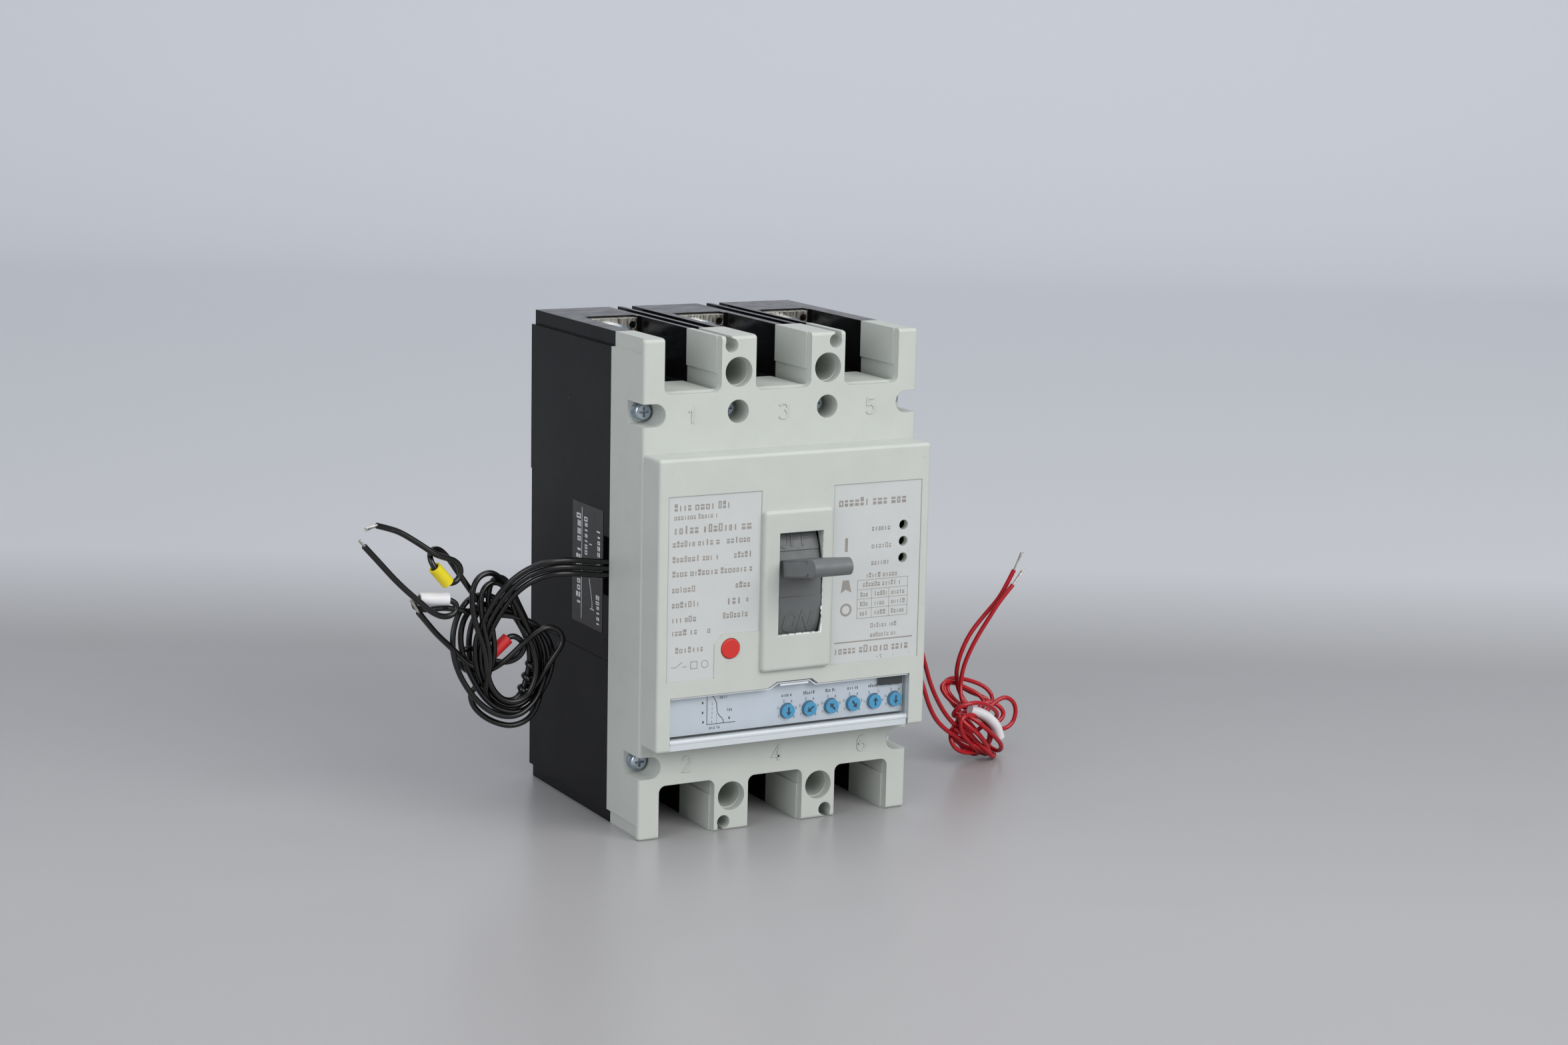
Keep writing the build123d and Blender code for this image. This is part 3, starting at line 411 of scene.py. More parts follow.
backdrop()
softbox("key", (0.5, -1.5, 0.9), (0, -0.05, 0), (1.3, 1.0), 19.5, (1.0, 0.99, 0.97))
softbox("fill", (-1.5, -0.8, 0.6), (0, -0.05, 0), (1.2, 1.0), 9.5, (0.97, 0.98, 1.0))
softbox("top", (-0.1, -0.2, 1.6), (0, 0.1, 0), (1.8, 1.4), 8, (1.0, 1.0, 1.0))
world = bpy.data.worlds.new("studio")
world.use_nodes = True
world.node_tree.nodes["Background"].inputs["Color"].default_value = WORLD_COLOUR
world.node_tree.nodes["Background"].inputs["Strength"].default_value = WORLD_STRENGTH
scene.world = world


# ---- Building pieces ----
# Undersides and tops of thin layers, as heights above the face that they lie on
INK, FILM = (-0.01, 0.02), (-0.02, 0.05)
SHIELD_MARK, NUMERAL = (-0.1, 0.16), (-0.1, 0.3)


def add(name, data, material, body, instead=()):
    """Puts a mesh or curve in the scene, on its body."""
    data.materials.append(material)
    made = linked(name, data)
    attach(made, body)
    if instead:
        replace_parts(made, *instead)
    return made


def edges_of(line, width, closed):
    """Left and right edges of a line of that width, with mitred corners."""
    points = [Vector(point) for point in line]
    count = len(points)
    edges = []
    for index, point in enumerate(points):
        run_in = run_out = None
        if closed or index > 0:
            run_in = (point - points[index - 1]).normalized()
        if closed or index < count - 1:
            run_out = (points[(index + 1) % count] - point).normalized()
        run_in = run_in or run_out
        run_out = run_out or run_in
        across = Vector((-run_in.y - run_out.y, run_in.x + run_out.x)).normalized()
        reach = width / 2 / max(across.dot(Vector((-run_out.y, run_out.x))), 0.5)
        edges.append((point + across * reach, point - across * reach))
    return edges


class Form:
    """Faces of one mesh, gathered in millimetres. A place function turns two coordinates on a
    surface and a height above it into a point, and low and high are such heights."""

    def __init__(self):
        self.points, self.faces = [], []

    def prism(self, outline, low, high, place):
        """Flat sided plate with that outline."""
        count, base = len(outline), len(self.points)
        for height in (low, high):
            self.points += [place(u, v, height) for u, v in outline]
        self.faces.append([base + index for index in reversed(range(count))])
        self.faces.append([base + count + index for index in range(count)])
        for index in range(count):
            after = (index + 1) % count
            self.faces.append([base + index, base + after, base + count + after,
                               base + count + index])

    def stroke(self, line, width, low, high, place, closed=False):
        """Bar of that width along a line."""
        edges = edges_of(line, width, closed)
        base, count = len(self.points), len(edges)
        for one, other in edges:
            for corner, height in ((one, low), (one, high), (other, high), (other, low)):
                self.points.append(place(corner.x, corner.y, height))
        for index in range(count if closed else count - 1):
            here, there = base + 4 * index, base + 4 * ((index + 1) % count)
            for side in range(4):
                after = (side + 1) % 4
                self.faces.append([here + side, here + after, there + after, there + side])
        if not closed:
            last = base + 4 * (count - 1)
            self.faces.append([base + 3, base + 2, base + 1, base])
            self.faces.append([last, last + 1, last + 2, last + 3])

    def tube(self, path, radii, sides=8):
        """Round tube along points, with a radius for each."""
        base = len(self.points)
        aim = Vector(path[1]) - Vector(path[0])
        across = aim.orthogonal().normalized()
        for index, point in enumerate(path):
            before, after = path[max(index - 1, 0)], path[min(index + 1, len(path) - 1)]
            aim = (Vector(after) - Vector(before)).normalized()
            across = (across - aim * across.dot(aim)).normalized()
            other = aim.cross(across)
            for side in range(sides):
                angle = 2 * pi * side / sides
                offset = (across * cos(angle) + other * sin(angle)) * radii[index]
                self.points.append(tuple(Vector(point) + offset))
        for index in range(len(path) - 1):
            for side in range(sides):
                here = base + index * sides
                after = (side + 1) % sides
                self.faces.append([here + side, here + after, here + sides + after,
                                   here + sides + side])
        self.faces.append([base + side for side in reversed(range(sides))])
        last = base + (len(path) - 1) * sides
        self.faces.append([last + side for side in range(sides)])

    def mesh(self, name, smooth):
        """The gathered faces as a mesh in metres, with their normals outward."""
        mesh = bpy.data.meshes.new(name)
        mesh.from_pydata([Vector(point) * MM for point in self.points], [], self.faces)
        solid = bmesh.new()
        solid.from_mesh(mesh)
        bmesh.ops.recalc_face_normals(solid, faces=solid.faces)
        solid.to_mesh(mesh)
        solid.free()
        for face in mesh.polygons:
            face.use_smooth = smooth
        return mesh

    def piece(self, name, material, body, slot, instead=(), smooth=False):
        """The form as a piece that rides on a body."""
        return add(name, self.mesh(name, smooth), material, body, instead)

    def loose(self, name, material, slot, instead):
        """Piece that rides on no body."""
        mesh = self.mesh(name, True)
        mesh.materials.append(material)
        made = linked(name, mesh)
        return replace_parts(made, instead)


def facing(y):
    """Place function for x and z on a front face at that y."""
    return lambda u, v, height: (u, y - height, v)


def box_outline(u0, u1, v0, v1):
    """Corners of a box from u0 to u1 and v0 to v1."""
    return [(u0, v0), (u1, v0), (u1, v1), (u0, v1)]


# Characters as lines in a square of side 1. A line that ends where it starts is a loop.
GLYPHS = {
    "O": (((0.2, 0), (0.42, 0), (0.62, 0.2), (0.62, 0.8), (0.42, 1), (0.2, 1), (0, 0.8), (0, 0.2),
           (0.2, 0)),),
    "1": (((0.08, 0.76), (0.34, 1), (0.34, 0)),),
    "2": (((0, 0.8), (0.14, 1), (0.46, 1), (0.6, 0.82), (0.6, 0.62), (0.02, 0), (0.62, 0)),),
    "3": (((0, 0.86), (0.16, 1), (0.44, 1), (0.6, 0.84), (0.6, 0.64), (0.46, 0.53), (0.6, 0.4),
           (0.62, 0.16), (0.44, 0), (0.14, 0), (0, 0.14)),),
    "4": (((0.46, 0), (0.46, 1), (0, 0.3), (0.64, 0.3)),),
    "5": (((0.58, 1), (0.08, 1), (0.04, 0.56), (0.4, 0.6), (0.6, 0.42), (0.6, 0.18), (0.42, 0),
           (0.12, 0), (0, 0.12)),),
    "6": (((0.54, 0.94), (0.34, 1), (0.14, 0.92), (0, 0.66), (0, 0.2), (0.16, 0), (0.44, 0),
           (0.6, 0.16), (0.6, 0.4), (0.44, 0.56), (0.2, 0.56), (0.02, 0.42)),),
    "N": (((0, 0), (0, 1), (0.6, 0), (0.6, 1)),),
    "F": (((0, 0), (0, 1), (0.55, 1)), ((0, 0.52), (0.45, 0.52))),
}


def finer(line):
    """The line with more points on it, for bending over a round surface."""
    step = 0.12
    dense = [line[0]]
    for start, end in zip(line, line[1:]):
        run = Vector(end) - Vector(start)
        pieces = max(1, int(run.length / step))
        for index in range(1, pieces + 1):
            dense.append(tuple(Vector(start) + run * index / pieces))
    return dense


def write(form, text, u, v, height, width, low, high, place, slant=0.0, gap=0.24):
    """Generic characters of that height and line width, from their lower left corner."""
    for mark in text:
        for line in GLYPHS[mark]:
            line = finer(line)
            closed = line[0] == line[-1]
            path = [(u + (a + slant * b) * height, v + b * height) for a, b in line]
            form.stroke(path[:-1] if closed else path, width, low, high, place, closed)
        wide = max(a for line in GLYPHS[mark] for a, b in line)
        u += (wide + gap) * height


class Print(Form):
    """Ink on a face, with random draws that several prints may share."""

    def __init__(self, rng, place):
        super().__init__()
        self.rng, self.place = rng, place

    def area(self, outline):
        """Filled outline."""
        self.prism(outline, *INK, self.place)

    def line(self, line, width, closed=False):
        """Inked line."""
        self.stroke(line, width, *INK, self.place, closed)

    def words(self, u0, u1, v, height):
        """Print as words of small plain blocks, with no letters in it. A block is a bar, an open
        box or two boxes with a gap between them."""
        u = u0
        while True:
            for _ in range(self.rng.randint(3, 8)):
                wide = height * self.rng.uniform(0.4, 0.62)
                if u + wide > u1:
                    return
                tall = height * self.rng.choice((0.74, 0.74, 0.74, 1.0))
                kind = self.rng.randint(0, 3)
                if kind == 0:
                    self.area(box_outline(u + 0.3 * wide, u + 0.7 * wide, v, v + tall))
                elif kind == 1:
                    thick = 0.17 * height
                    self.line(box_outline(u + thick / 2, u + wide - thick / 2, v + thick / 2,
                                          v + tall - thick / 2), thick, closed=True)
                else:
                    middle, half_gap = 0.42 * height, 0.07 * height
                    self.area(box_outline(u, u + wide, v, v + middle - half_gap))
                    self.area(box_outline(u, u + wide, v + middle + half_gap, v + tall))
                u += wide + 0.2 * height
            u += 0.4 * height


# ---- Wires ----
STRIP_OVERLAP = 1.2  # length of the strands that stays inside the insulation
OUTER_STRANDS, STRAND_RADIUS, STRAND_POINTS = 8, 0.14, 15
STRAND_TWIST = 5.4  # radians from end to end

# Control points of the free leads: out of the case, round the turns that they were wound in, and
# on to the end of the insulation. The tips are the ends of the bare strands.
BLACK_LEADS = (
    ((-42.9, -56.8, 5.4), (-49.5, -57.3, 5.9), (-56.5, -58.0, 7.2), (-64.0, -57.3, 7.4),
     (-70.6, -55.3, 5.5), (-75.0, -52.0, 1.4), (-78.1, -49.0, -3.6), (-80.6, -46.6, -9.4),
     (-82.0, -44.2, -14.6)),
    ((-42.9, -56.8, 3.4), (-49.5, -57.3, 3.9), (-56.5, -58.0, 5.2), (-63.5, -57.3, 5.5),
     (-69.3, -55.3, 3.9), (-73.3, -52.0, 0.2), (-76.2, -49.0, -4.4), (-78.6, -46.6, -9.8),
     (-80.1, -44.2, -15.0)),
    ((-42.9, -56.8, 1.4), (-49.5, -57.3, 1.9), (-56.5, -58.0, 3.2), (-63.0, -57.3, 3.5),
     (-68.0, -55.3, 2.2), (-71.7, -52.0, -1.1), (-74.4, -49.0, -5.3), (-76.6, -46.6, -10.3),
     (-78.2, -44.2, -15.2)),
)
BLACK_TAILS = (
    ((-81.5, -43.5, -7.0), (-84.6, -43.9, -2.6), (-88.3, -44.0, 2.7), (-92.0, -44.5, 8.1),
     (-95.2, -45.4, 11.2), (-98.4, -47.2, 11.6), (-99.9, -49.4, 9.8), (-99.3, -50.8, 7.4),
     (-97.2, -50.9, 4.4), (-94.2, -50.2, 1.4), (-90.9, -49.2, 2.0), (-89.6, -48.9, 5.0),
     (-91.4, -49.4, 7.9), (-94.8, -50.4, 9.3), (-98.6, -51.2, 10.7), (-103.3, -50.8, 14.1),
     (-109.3, -50.6, 18.1), (-113.5, -51.0, 19.7), (-117.2, -52.2, 20.9)),
    ((-83.5, -43.5, -9.4), (-88.4, -44.3, -7.9), (-93.7, -45.0, -6.7), (-98.5, -45.2, -6.9),
     (-102.2, -45.6, -6.3), (-104.0, -46.7, -4.4), (-102.9, -48.0, -2.8), (-98.1, -48.3, -2.9),
     (-93.3, -48.3, -3.6), (-90.8, -48.4, -5.2), (-91.6, -48.9, -7.9), (-95.4, -49.8, -8.6),
     (-99.6, -50.8, -6.6), (-102.8, -51.6, -3.7), (-106.2, -51.8, -0.8), (-111.2, -51.8, 4.0),
     (-117.0, -52.0, 10.6), (-121.2, -52.5, 15.2)),
    ((-82.4, -40.6, -26.9), (-85.5, -40.4, -24.3), (-89.8, -41.6, -20.0), (-95.8, -44.6, -14.6),
     (-100.9, -48.0, -9.1), (-103.2, -49.0, -6.5)),
)
BLACK_TIPS = ((-121.4, -53.6, 20.2), (-122.8, -52.9, 17.2), (-106.1, -50.0, -2.0))
RED_LEADS = (
    ((42.9, -56.8, 4.4), (48.5, -57.0, 3.6), (53.5, -56.8, 0.2), (57.2, -56.0, -6.0),
     (60.3, -54.9, -13.6), (63.6, -53.8, -22.5), (67.0, -52.2, -30.5), (70.8, -50.2, -39.1),
     (73.6, -49.0, -45.6), (77.0, -48.0, -51.5), (81.0, -47.0, -57.0), (85.4, -46.0, -61.3),
     (90.0, -45.0, -64.3)),
    ((42.9, -56.8, 2.3), (47.6, -57.0, 1.2), (51.5, -57.0, -2.6), (54.6, -56.5, -9.0),
     (57.6, -55.4, -17.0), (61.2, -54.0, -26.0), (65.6, -52.4, -36.5), (70.4, -50.6, -47.0),
     (72.9, -49.6, -52.6), (76.4, -48.5, -57.9), (81.0, -47.2, -62.0), (86.0, -46.0, -65.2)),
)
RED_TAILS = (
    ((95.8, -30.0, -52.0), (95.2, -30.1, -47.1), (96.8, -30.0, -41.2), (100.4, -29.8, -34.9),
     (105.6, -30.0, -29.3), (110.5, -30.8, -24.0), (113.5, -30.9, -19.3), (116.1, -31.0, -14.6)),
    ((95.6, -32.4, -51.4), (96.4, -32.3, -46.3), (98.7, -32.2, -41.0), (102.3, -32.2, -35.0),
     (106.2, -32.4, -29.5), (109.9, -33.0, -23.8), (114.4, -33.2, -19.1)),
)
RED_TIPS = ((119.2, -31.0, -8.6), (118.6, -33.1, -13.9))
BLACK_TURNS_1 = (
    (-82.7, -42.8, -19.2), (-82.1, -41.6, -24.6), (-80.6, -41.0, -30.0), (-77.9, -40.6, -34.7),
    (-73.9, -40.4, -39.0), (-69.1, -40.2, -40.7), (-64.2, -40.2, -39.0), (-61.4, -40.4, -34.2),
    (-61.1, -41.0, -28.1), (-62.6, -41.8, -21.9), (-65.5, -43.0, -15.9), (-68.7, -44.0, -10.2),
    (-72.1, -44.8, -4.5), (-75.2, -45.2, 0.6), (-78.9, -45.6, 3.1), (-83.1, -46.2, 2.1),
    (-85.3, -46.6, -1.7), (-85.1, -46.4, -7.4), (-83.6, -45.8, -13.1), (-81.3, -45.0, -18.2),
    (-79.9, -44.6, -23.1), (-79.4, -44.2, -28.0), (-77.9, -43.8, -32.7), (-74.7, -43.6, -36.8),
    (-70.2, -44.0, -38.3), (-66.1, -44.2, -36.5), (-63.8, -44.2, -32.2), (-63.0, -44.0, -27.2),
    (-64.2, -43.4, -21.1), (-67.1, -42.0, -16.0), (-69.4, -41.0, -11.9), (-72.2, -40.0, -8.5),
    (-75.6, -39.4, -5.9), (-79.4, -39.2, -5.0), (-83.4, -39.4, -6.0), (-86.5, -40.0, -9.3),
    (-88.5, -40.6, -13.4), (-89.4, -41.2, -18.2), (-89.1, -41.8, -23.2), (-87.6, -42.2, -28.0),
    (-85.4, -42.6, -32.2), (-82.7, -43.0, -36.1), (-78.9, -43.4, -39.8), (-74.0, -43.6, -42.3),
    (-68.8, -43.4, -42.6), (-64.4, -42.8, -40.1), (-61.0, -42.0, -36.1), (-59.1, -41.4, -30.6),
    (-59.1, -40.8, -24.5), (-61.2, -40.6, -18.9), (-65.0, -40.8, -14.0), (-69.5, -41.2, -10.8),
    (-74.5, -42.0, -9.1),
)
BLACK_TURNS_2 = (
    (-80.8, -43.0, -19.3), (-80.6, -42.4, -24.5), (-79.4, -42.0, -29.5), (-76.7, -41.8, -33.9),
    (-73.1, -41.4, -37.8), (-68.9, -41.0, -38.3), (-66.2, -40.6, -35.6), (-64.8, -40.6, -30.9),
    (-63.8, -40.6, -26.2), (-64.6, -40.9, -21.2), (-66.2, -41.2, -17.3), (-68.5, -41.8, -13.5),
    (-70.5, -42.6, -8.1), (-72.6, -43.4, -3.7), (-75.0, -44.0, -1.0), (-78.3, -44.6, -0.3),
    (-81.1, -45.0, -2.0), (-82.1, -45.4, -5.9), (-81.6, -45.4, -10.6), (-80.5, -45.2, -15.5),
    (-79.1, -45.0, -20.4), (-78.5, -44.8, -25.2), (-79.1, -44.0, -30.1), (-79.1, -42.0, -34.7),
    (-76.4, -40.0, -38.5), (-72.3, -38.8, -41.1), (-67.3, -38.2, -41.5), (-63.2, -38.0, -38.9),
    (-60.8, -38.2, -34.2), (-59.5, -38.6, -29.1), (-59.7, -39.0, -23.8), (-61.7, -39.2, -18.8),
    (-65.0, -39.2, -14.7), (-68.8, -38.8, -12.1), (-73.0, -38.4, -10.8), (-77.2, -38.2, -9.1),
    (-80.8, -38.2, -8.8), (-83.8, -38.6, -10.8), (-85.5, -39.0, -14.3), (-86.1, -39.4, -18.6),
    (-85.4, -39.8, -23.3), (-83.7, -40.2, -28.1), (-81.3, -40.8, -33.0), (-78.8, -41.4, -36.9),
    (-75.1, -42.0, -40.2), (-70.1, -42.2, -41.9), (-65.3, -42.0, -41.2), (-61.4, -41.4, -37.9),
    (-58.5, -41.0, -33.8), (-56.9, -41.0, -29.5), (-56.6, -41.2, -24.7), (-58.3, -41.6, -19.9),
    (-61.8, -42.0, -15.8), (-66.7, -42.2, -12.9), (-71.7, -42.2, -11.5), (-77.6, -42.6, -10.7),
)
BLACK_TURNS_3 = (
    (-79.1, -43.4, -19.4), (-79.4, -42.8, -24.2), (-79.0, -41.0, -29.4), (-77.6, -39.8, -33.6),
    (-74.2, -38.6, -37.5), (-70.0, -38.0, -39.4), (-65.3, -38.8, -38.5), (-63.9, -39.3, -38.5),
    (-63.7, -40.6, -37.9), (-64.8, -41.9, -36.9), (-66.3, -42.5, -35.7), (-67.4, -41.9, -34.8),
    (-67.3, -40.6, -34.4), (-65.9, -39.3, -34.6), (-64.1, -38.8, -34.9), (-62.7, -39.3, -34.8),
    (-62.5, -40.6, -34.3), (-63.5, -41.9, -33.2), (-65.1, -42.5, -32.0), (-66.1, -41.9, -31.1),
    (-66.0, -40.6, -30.8), (-64.7, -39.3, -30.9), (-62.8, -38.8, -31.2), (-61.4, -39.3, -31.2),
    (-61.2, -40.6, -30.6), (-62.3, -41.9, -29.6), (-63.8, -42.5, -28.4), (-64.9, -41.9, -27.5),
    (-64.8, -40.6, -27.1), (-63.4, -39.3, -27.2), (-61.9, -38.8, -26.4), (-61.3, -38.4, -24.1),
    (-62.2, -38.8, -19.2), (-65.2, -39.6, -13.2), (-68.3, -41.0, -7.9), (-70.8, -42.4, -3.4),
    (-73.4, -43.4, 0.1), (-76.0, -43.8, 1.0), (-78.4, -44.0, -0.7), (-79.2, -44.2, -5.0),
    (-78.7, -44.4, -10.1), (-77.8, -44.4, -14.9), (-77.0, -44.2, -19.7), (-77.0, -43.4, -24.7),
    (-78.0, -42.0, -29.0), (-79.3, -40.0, -32.4), (-80.8, -38.4, -33.6), (-82.1, -37.6, -35.7),
    (-81.4, -37.4, -39.2), (-78.6, -37.6, -42.6), (-74.5, -38.0, -45.3), (-69.3, -38.6, -47.0),
    (-64.3, -39.0, -45.8), (-61.2, -39.2, -42.3), (-59.6, -39.0, -37.6), (-58.6, -38.6, -32.6),
    (-58.2, -38.0, -27.3), (-59.0, -37.4, -21.8), (-61.4, -36.8, -17.2), (-64.8, -36.2, -13.6),
    (-69.0, -35.8, -11.0), (-73.6, -35.6, -9.6), (-77.9, -35.6, -10.2), (-80.6, -36.0, -13.3),
    (-82.0, -36.4, -17.9), (-82.3, -36.8, -22.9), (-81.6, -37.2, -28.0), (-79.5, -37.8, -32.5),
    (-76.0, -38.2, -36.2), (-71.8, -38.6, -38.6), (-67.6, -39.6, -38.8), (-63.9, -41.2, -36.0),
    (-61.4, -43.0, -31.7), (-59.5, -44.4, -27.5), (-57.3, -45.0, -24.1), (-54.9, -45.0, -20.7),
    (-55.7, -44.6, -17.2), (-59.5, -44.2, -15.5), (-63.7, -43.8, -17.3), (-67.5, -43.4, -20.4),
    (-70.4, -42.6, -23.4), (-73.2, -41.6, -26.1), (-76.5, -40.0, -28.4), (-80.2, -38.6, -29.3),
    (-83.9, -38.0, -28.3), (-85.9, -37.8, -25.4), (-85.4, -37.8, -22.4), (-82.4, -38.0, -21.2),
    (-79.4, -38.4, -22.8), (-76.8, -39.0, -25.0), (-74.0, -40.2, -26.2), (-70.5, -41.2, -26.1),
    (-67.7, -41.8, -24.5), (-66.2, -42.0, -21.9), (-67.9, -42.2, -19.0), (-71.0, -42.2, -17.6),
    (-74.3, -42.0, -20.6), (-77.3, -42.0, -23.4), (-79.8, -41.2, -26.2),
)
RED_TURNS_1 = (
    (93.7, -46.4, -67.6), (96.7, -47.6, -70.2), (100.4, -46.4, -73.6), (103.8, -42.5, -74.1),
    (103.4, -39.5, -73.9), (99.9, -38.5, -71.1), (95.6, -38.8, -66.5), (91.2, -40.2, -62.3),
    (87.5, -43.0, -58.8), (86.1, -46.2, -57.6), (87.3, -48.4, -59.9), (90.2, -49.4, -62.4),
    (93.6, -49.0, -65.3), (97.2, -47.5, -69.3), (100.5, -44.0, -72.7), (101.0, -40.6, -74.1),
    (98.2, -38.6, -72.8), (94.3, -38.4, -71.2), (90.1, -39.6, -68.7), (86.6, -41.6, -65.9),
    (84.5, -44.4, -63.0), (85.4, -46.8, -62.3), (88.5, -47.4, -65.2), (92.3, -46.4, -69.0),
    (96.5, -44.0, -72.0), (96.7, -41.0, -73.6), (94.8, -38.6, -72.9), (93.0, -36.8, -70.5),
    (91.6, -36.6, -66.9), (90.4, -38.8, -62.5), (89.5, -42.6, -58.9), (89.2, -46.6, -58.1),
    (91.7, -48.6, -59.6), (95.0, -49.2, -62.3), (99.3, -48.0, -65.7), (104.0, -45.8, -69.7),
    (105.9, -42.6, -72.9), (105.1, -39.4, -73.4), (103.3, -36.8, -71.1), (100.9, -35.0, -67.5),
    (98.2, -33.6, -63.9), (95.4, -32.0, -60.5), (93.0, -30.6, -57.3), (91.4, -29.4, -54.2),
    (91.8, -28.0, -51.6), (95.3, -26.4, -50.6), (100.0, -25.4, -51.4), (104.7, -25.2, -52.9),
    (108.4, -25.8, -54.5), (110.9, -27.0, -56.7), (111.0, -28.8, -59.1), (108.9, -31.0, -61.3),
    (104.4, -32.6, -62.0), (99.8, -32.6, -61.0), (96.5, -31.4, -59.0), (93.9, -30.4, -56.5),
    (92.3, -29.4, -53.8), (93.4, -28.0, -51.8), (97.2, -26.8, -52.4), (100.9, -26.4, -54.9),
    (103.8, -27.0, -56.5), (106.6, -28.0, -57.6), (108.9, -29.0, -58.9), (108.6, -31.2, -60.9),
    (105.1, -33.4, -62.1), (100.7, -34.4, -61.2), (97.8, -33.8, -58.6), (96.3, -32.4, -55.8),
    (95.9, -31.0, -53.8),
)
RED_TURNS_2 = (
    (90.2, -45.6, -67.2), (93.6, -46.6, -69.1), (97.6, -45.8, -71.7), (101.4, -42.4, -73.8),
    (101.5, -38.8, -73.3), (98.4, -37.2, -70.5), (94.0, -37.8, -66.6), (89.2, -40.2, -62.6),
    (85.6, -43.4, -63.6), (84.2, -45.2, -66.2), (85.9, -46.0, -69.4), (90.4, -45.2, -71.4),
    (95.7, -43.4, -72.0), (100.6, -41.0, -71.5), (103.4, -39.4, -69.2), (102.7, -40.0, -65.8),
    (98.9, -42.6, -61.8), (93.8, -45.6, -58.8), (88.9, -47.6, -57.6), (85.9, -48.4, -59.1),
    (86.3, -48.0, -62.4), (89.7, -46.4, -66.5), (94.6, -44.6, -69.7), (99.2, -43.2, -70.8),
    (102.2, -42.0, -69.0), (101.9, -42.4, -65.4), (99.5, -43.4, -61.7), (95.7, -44.4, -58.8),
    (92.6, -43.4, -58.0), (90.6, -41.4, -58.8), (90.3, -39.2, -61.0), (93.0, -37.4, -64.4),
    (97.3, -36.6, -67.0), (100.7, -37.0, -66.5), (101.8, -38.6, -63.8), (99.2, -40.8, -60.5),
    (95.1, -41.8, -58.4), (91.5, -41.2, -58.5), (88.0, -42.0, -59.6), (85.2, -44.6, -57.9),
    (85.8, -46.6, -55.3), (89.0, -47.6, -54.0), (93.9, -47.0, -54.1), (98.4, -46.2, -55.9),
    (103.3, -43.6, -59.1), (105.3, -40.2, -62.3), (103.0, -37.2, -62.8), (100.6, -35.8, -60.6),
    (102.1, -35.2, -58.2), (106.1, -35.6, -57.6), (109.9, -37.0, -60.5), (109.6, -37.6, -63.1),
    (106.7, -37.8, -64.7), (103.5, -37.4, -63.8), (102.6, -36.8, -61.3), (104.8, -36.4, -59.2),
    (107.9, -36.2, -57.3), (111.3, -36.2, -56.4), (114.6, -36.2, -58.5), (115.5, -36.4, -62.0),
    (114.2, -36.6, -65.8), (110.4, -37.0, -67.5), (106.1, -37.4, -66.3), (103.1, -36.6, -63.7),
    (99.9, -35.2, -60.9), (96.6, -33.6, -59.2), (93.3, -32.0, -57.8), (90.8, -30.8, -55.1),
    (89.6, -29.8, -52.5), (91.8, -29.0, -50.8), (95.8, -28.4, -51.7), (100.0, -28.2, -53.9),
    (103.9, -28.6, -55.9), (106.3, -29.8, -57.9), (105.7, -31.8, -60.1), (101.9, -33.8, -61.2),
    (97.7, -35.0, -60.0), (95.2, -34.8, -57.3), (94.9, -33.8, -54.6),
)


def wire(name, points, diameter, slot, instead):
    """Free lead: a curve of one NURBS spline, from the case's side wall to its bare end."""
    curve = bpy.data.curves.new(name, "CURVE")
    curve.dimensions = "3D"
    curve.bevel_depth = diameter / 2 * MM
    curve.bevel_resolution = 3
    curve.resolution_u = 8
    curve.use_fill_caps = True
    spline = curve.splines.new("NURBS")
    spline.points.add(len(points) - 1)
    for control, point in zip(spline.points, points):
        control.co = (*(Vector(point) * MM), 1)
    spline.order_u = 3
    spline.use_endpoint_u = True
    made = add(name, curve, MATERIALS[slot], "case", instead)


def strands(name, tail, tip, reach, instead, seed):
    """Twisted bare strands at the stripped end of a wire: one core, and eight round it that splay
    a little towards the tip."""
    rng = Random(seed)
    form = Form()
    start = Vector(tail[-1])
    start -= (Vector(tip) - start).normalized() * STRIP_OVERLAP
    aim = Vector(tip) - start
    across = aim.orthogonal().normalized()
    other = aim.normalized().cross(across)
    for strand in range(OUTER_STRANDS + 1):
        core = 0.0 if strand == 0 else 1.0
        phase = 2 * pi * strand / OUTER_STRANDS
        spread = rng.uniform(0.9, 1.5)
        end = rng.uniform(0.9, 1.0)
        path = []
        for step in range(STRAND_POINTS):
            share = step / (STRAND_POINTS - 1) * end
            radius = core * reach * (0.62 + 0.5 * share ** 4 * spread)
            angle = phase + STRAND_TWIST * share
            path.append(start + aim * share + (across * cos(angle) + other * sin(angle)) * radius)
        form.tube(path, [STRAND_RADIUS] * STRAND_POINTS, 6)
    return form.piece(name, MATERIALS["tinned_copper"], "case", "tinned_copper", instead,
                      smooth=True)


def leads(kind, slot, diameter, reach, rolled, seed, rows):
    """All wires of one side, each with its strands. A row holds a wire's points out of the case,
    round its turns and on to its end, the strands' tip, its length and its sleeves."""
    for index, (exit_part, turns, tail, tip, length, sleeves) in enumerate(rows):
        number = index + 1
        ends = strands(f"{kind}_strands_{number}", tail, tip, reach, [f"{kind}_strands"],
                       seed + index)
        wire(f"{kind}_lead_{number}", exit_part + turns + tail, diameter, slot,
             [f"{kind}_wire_{number}", rolled])


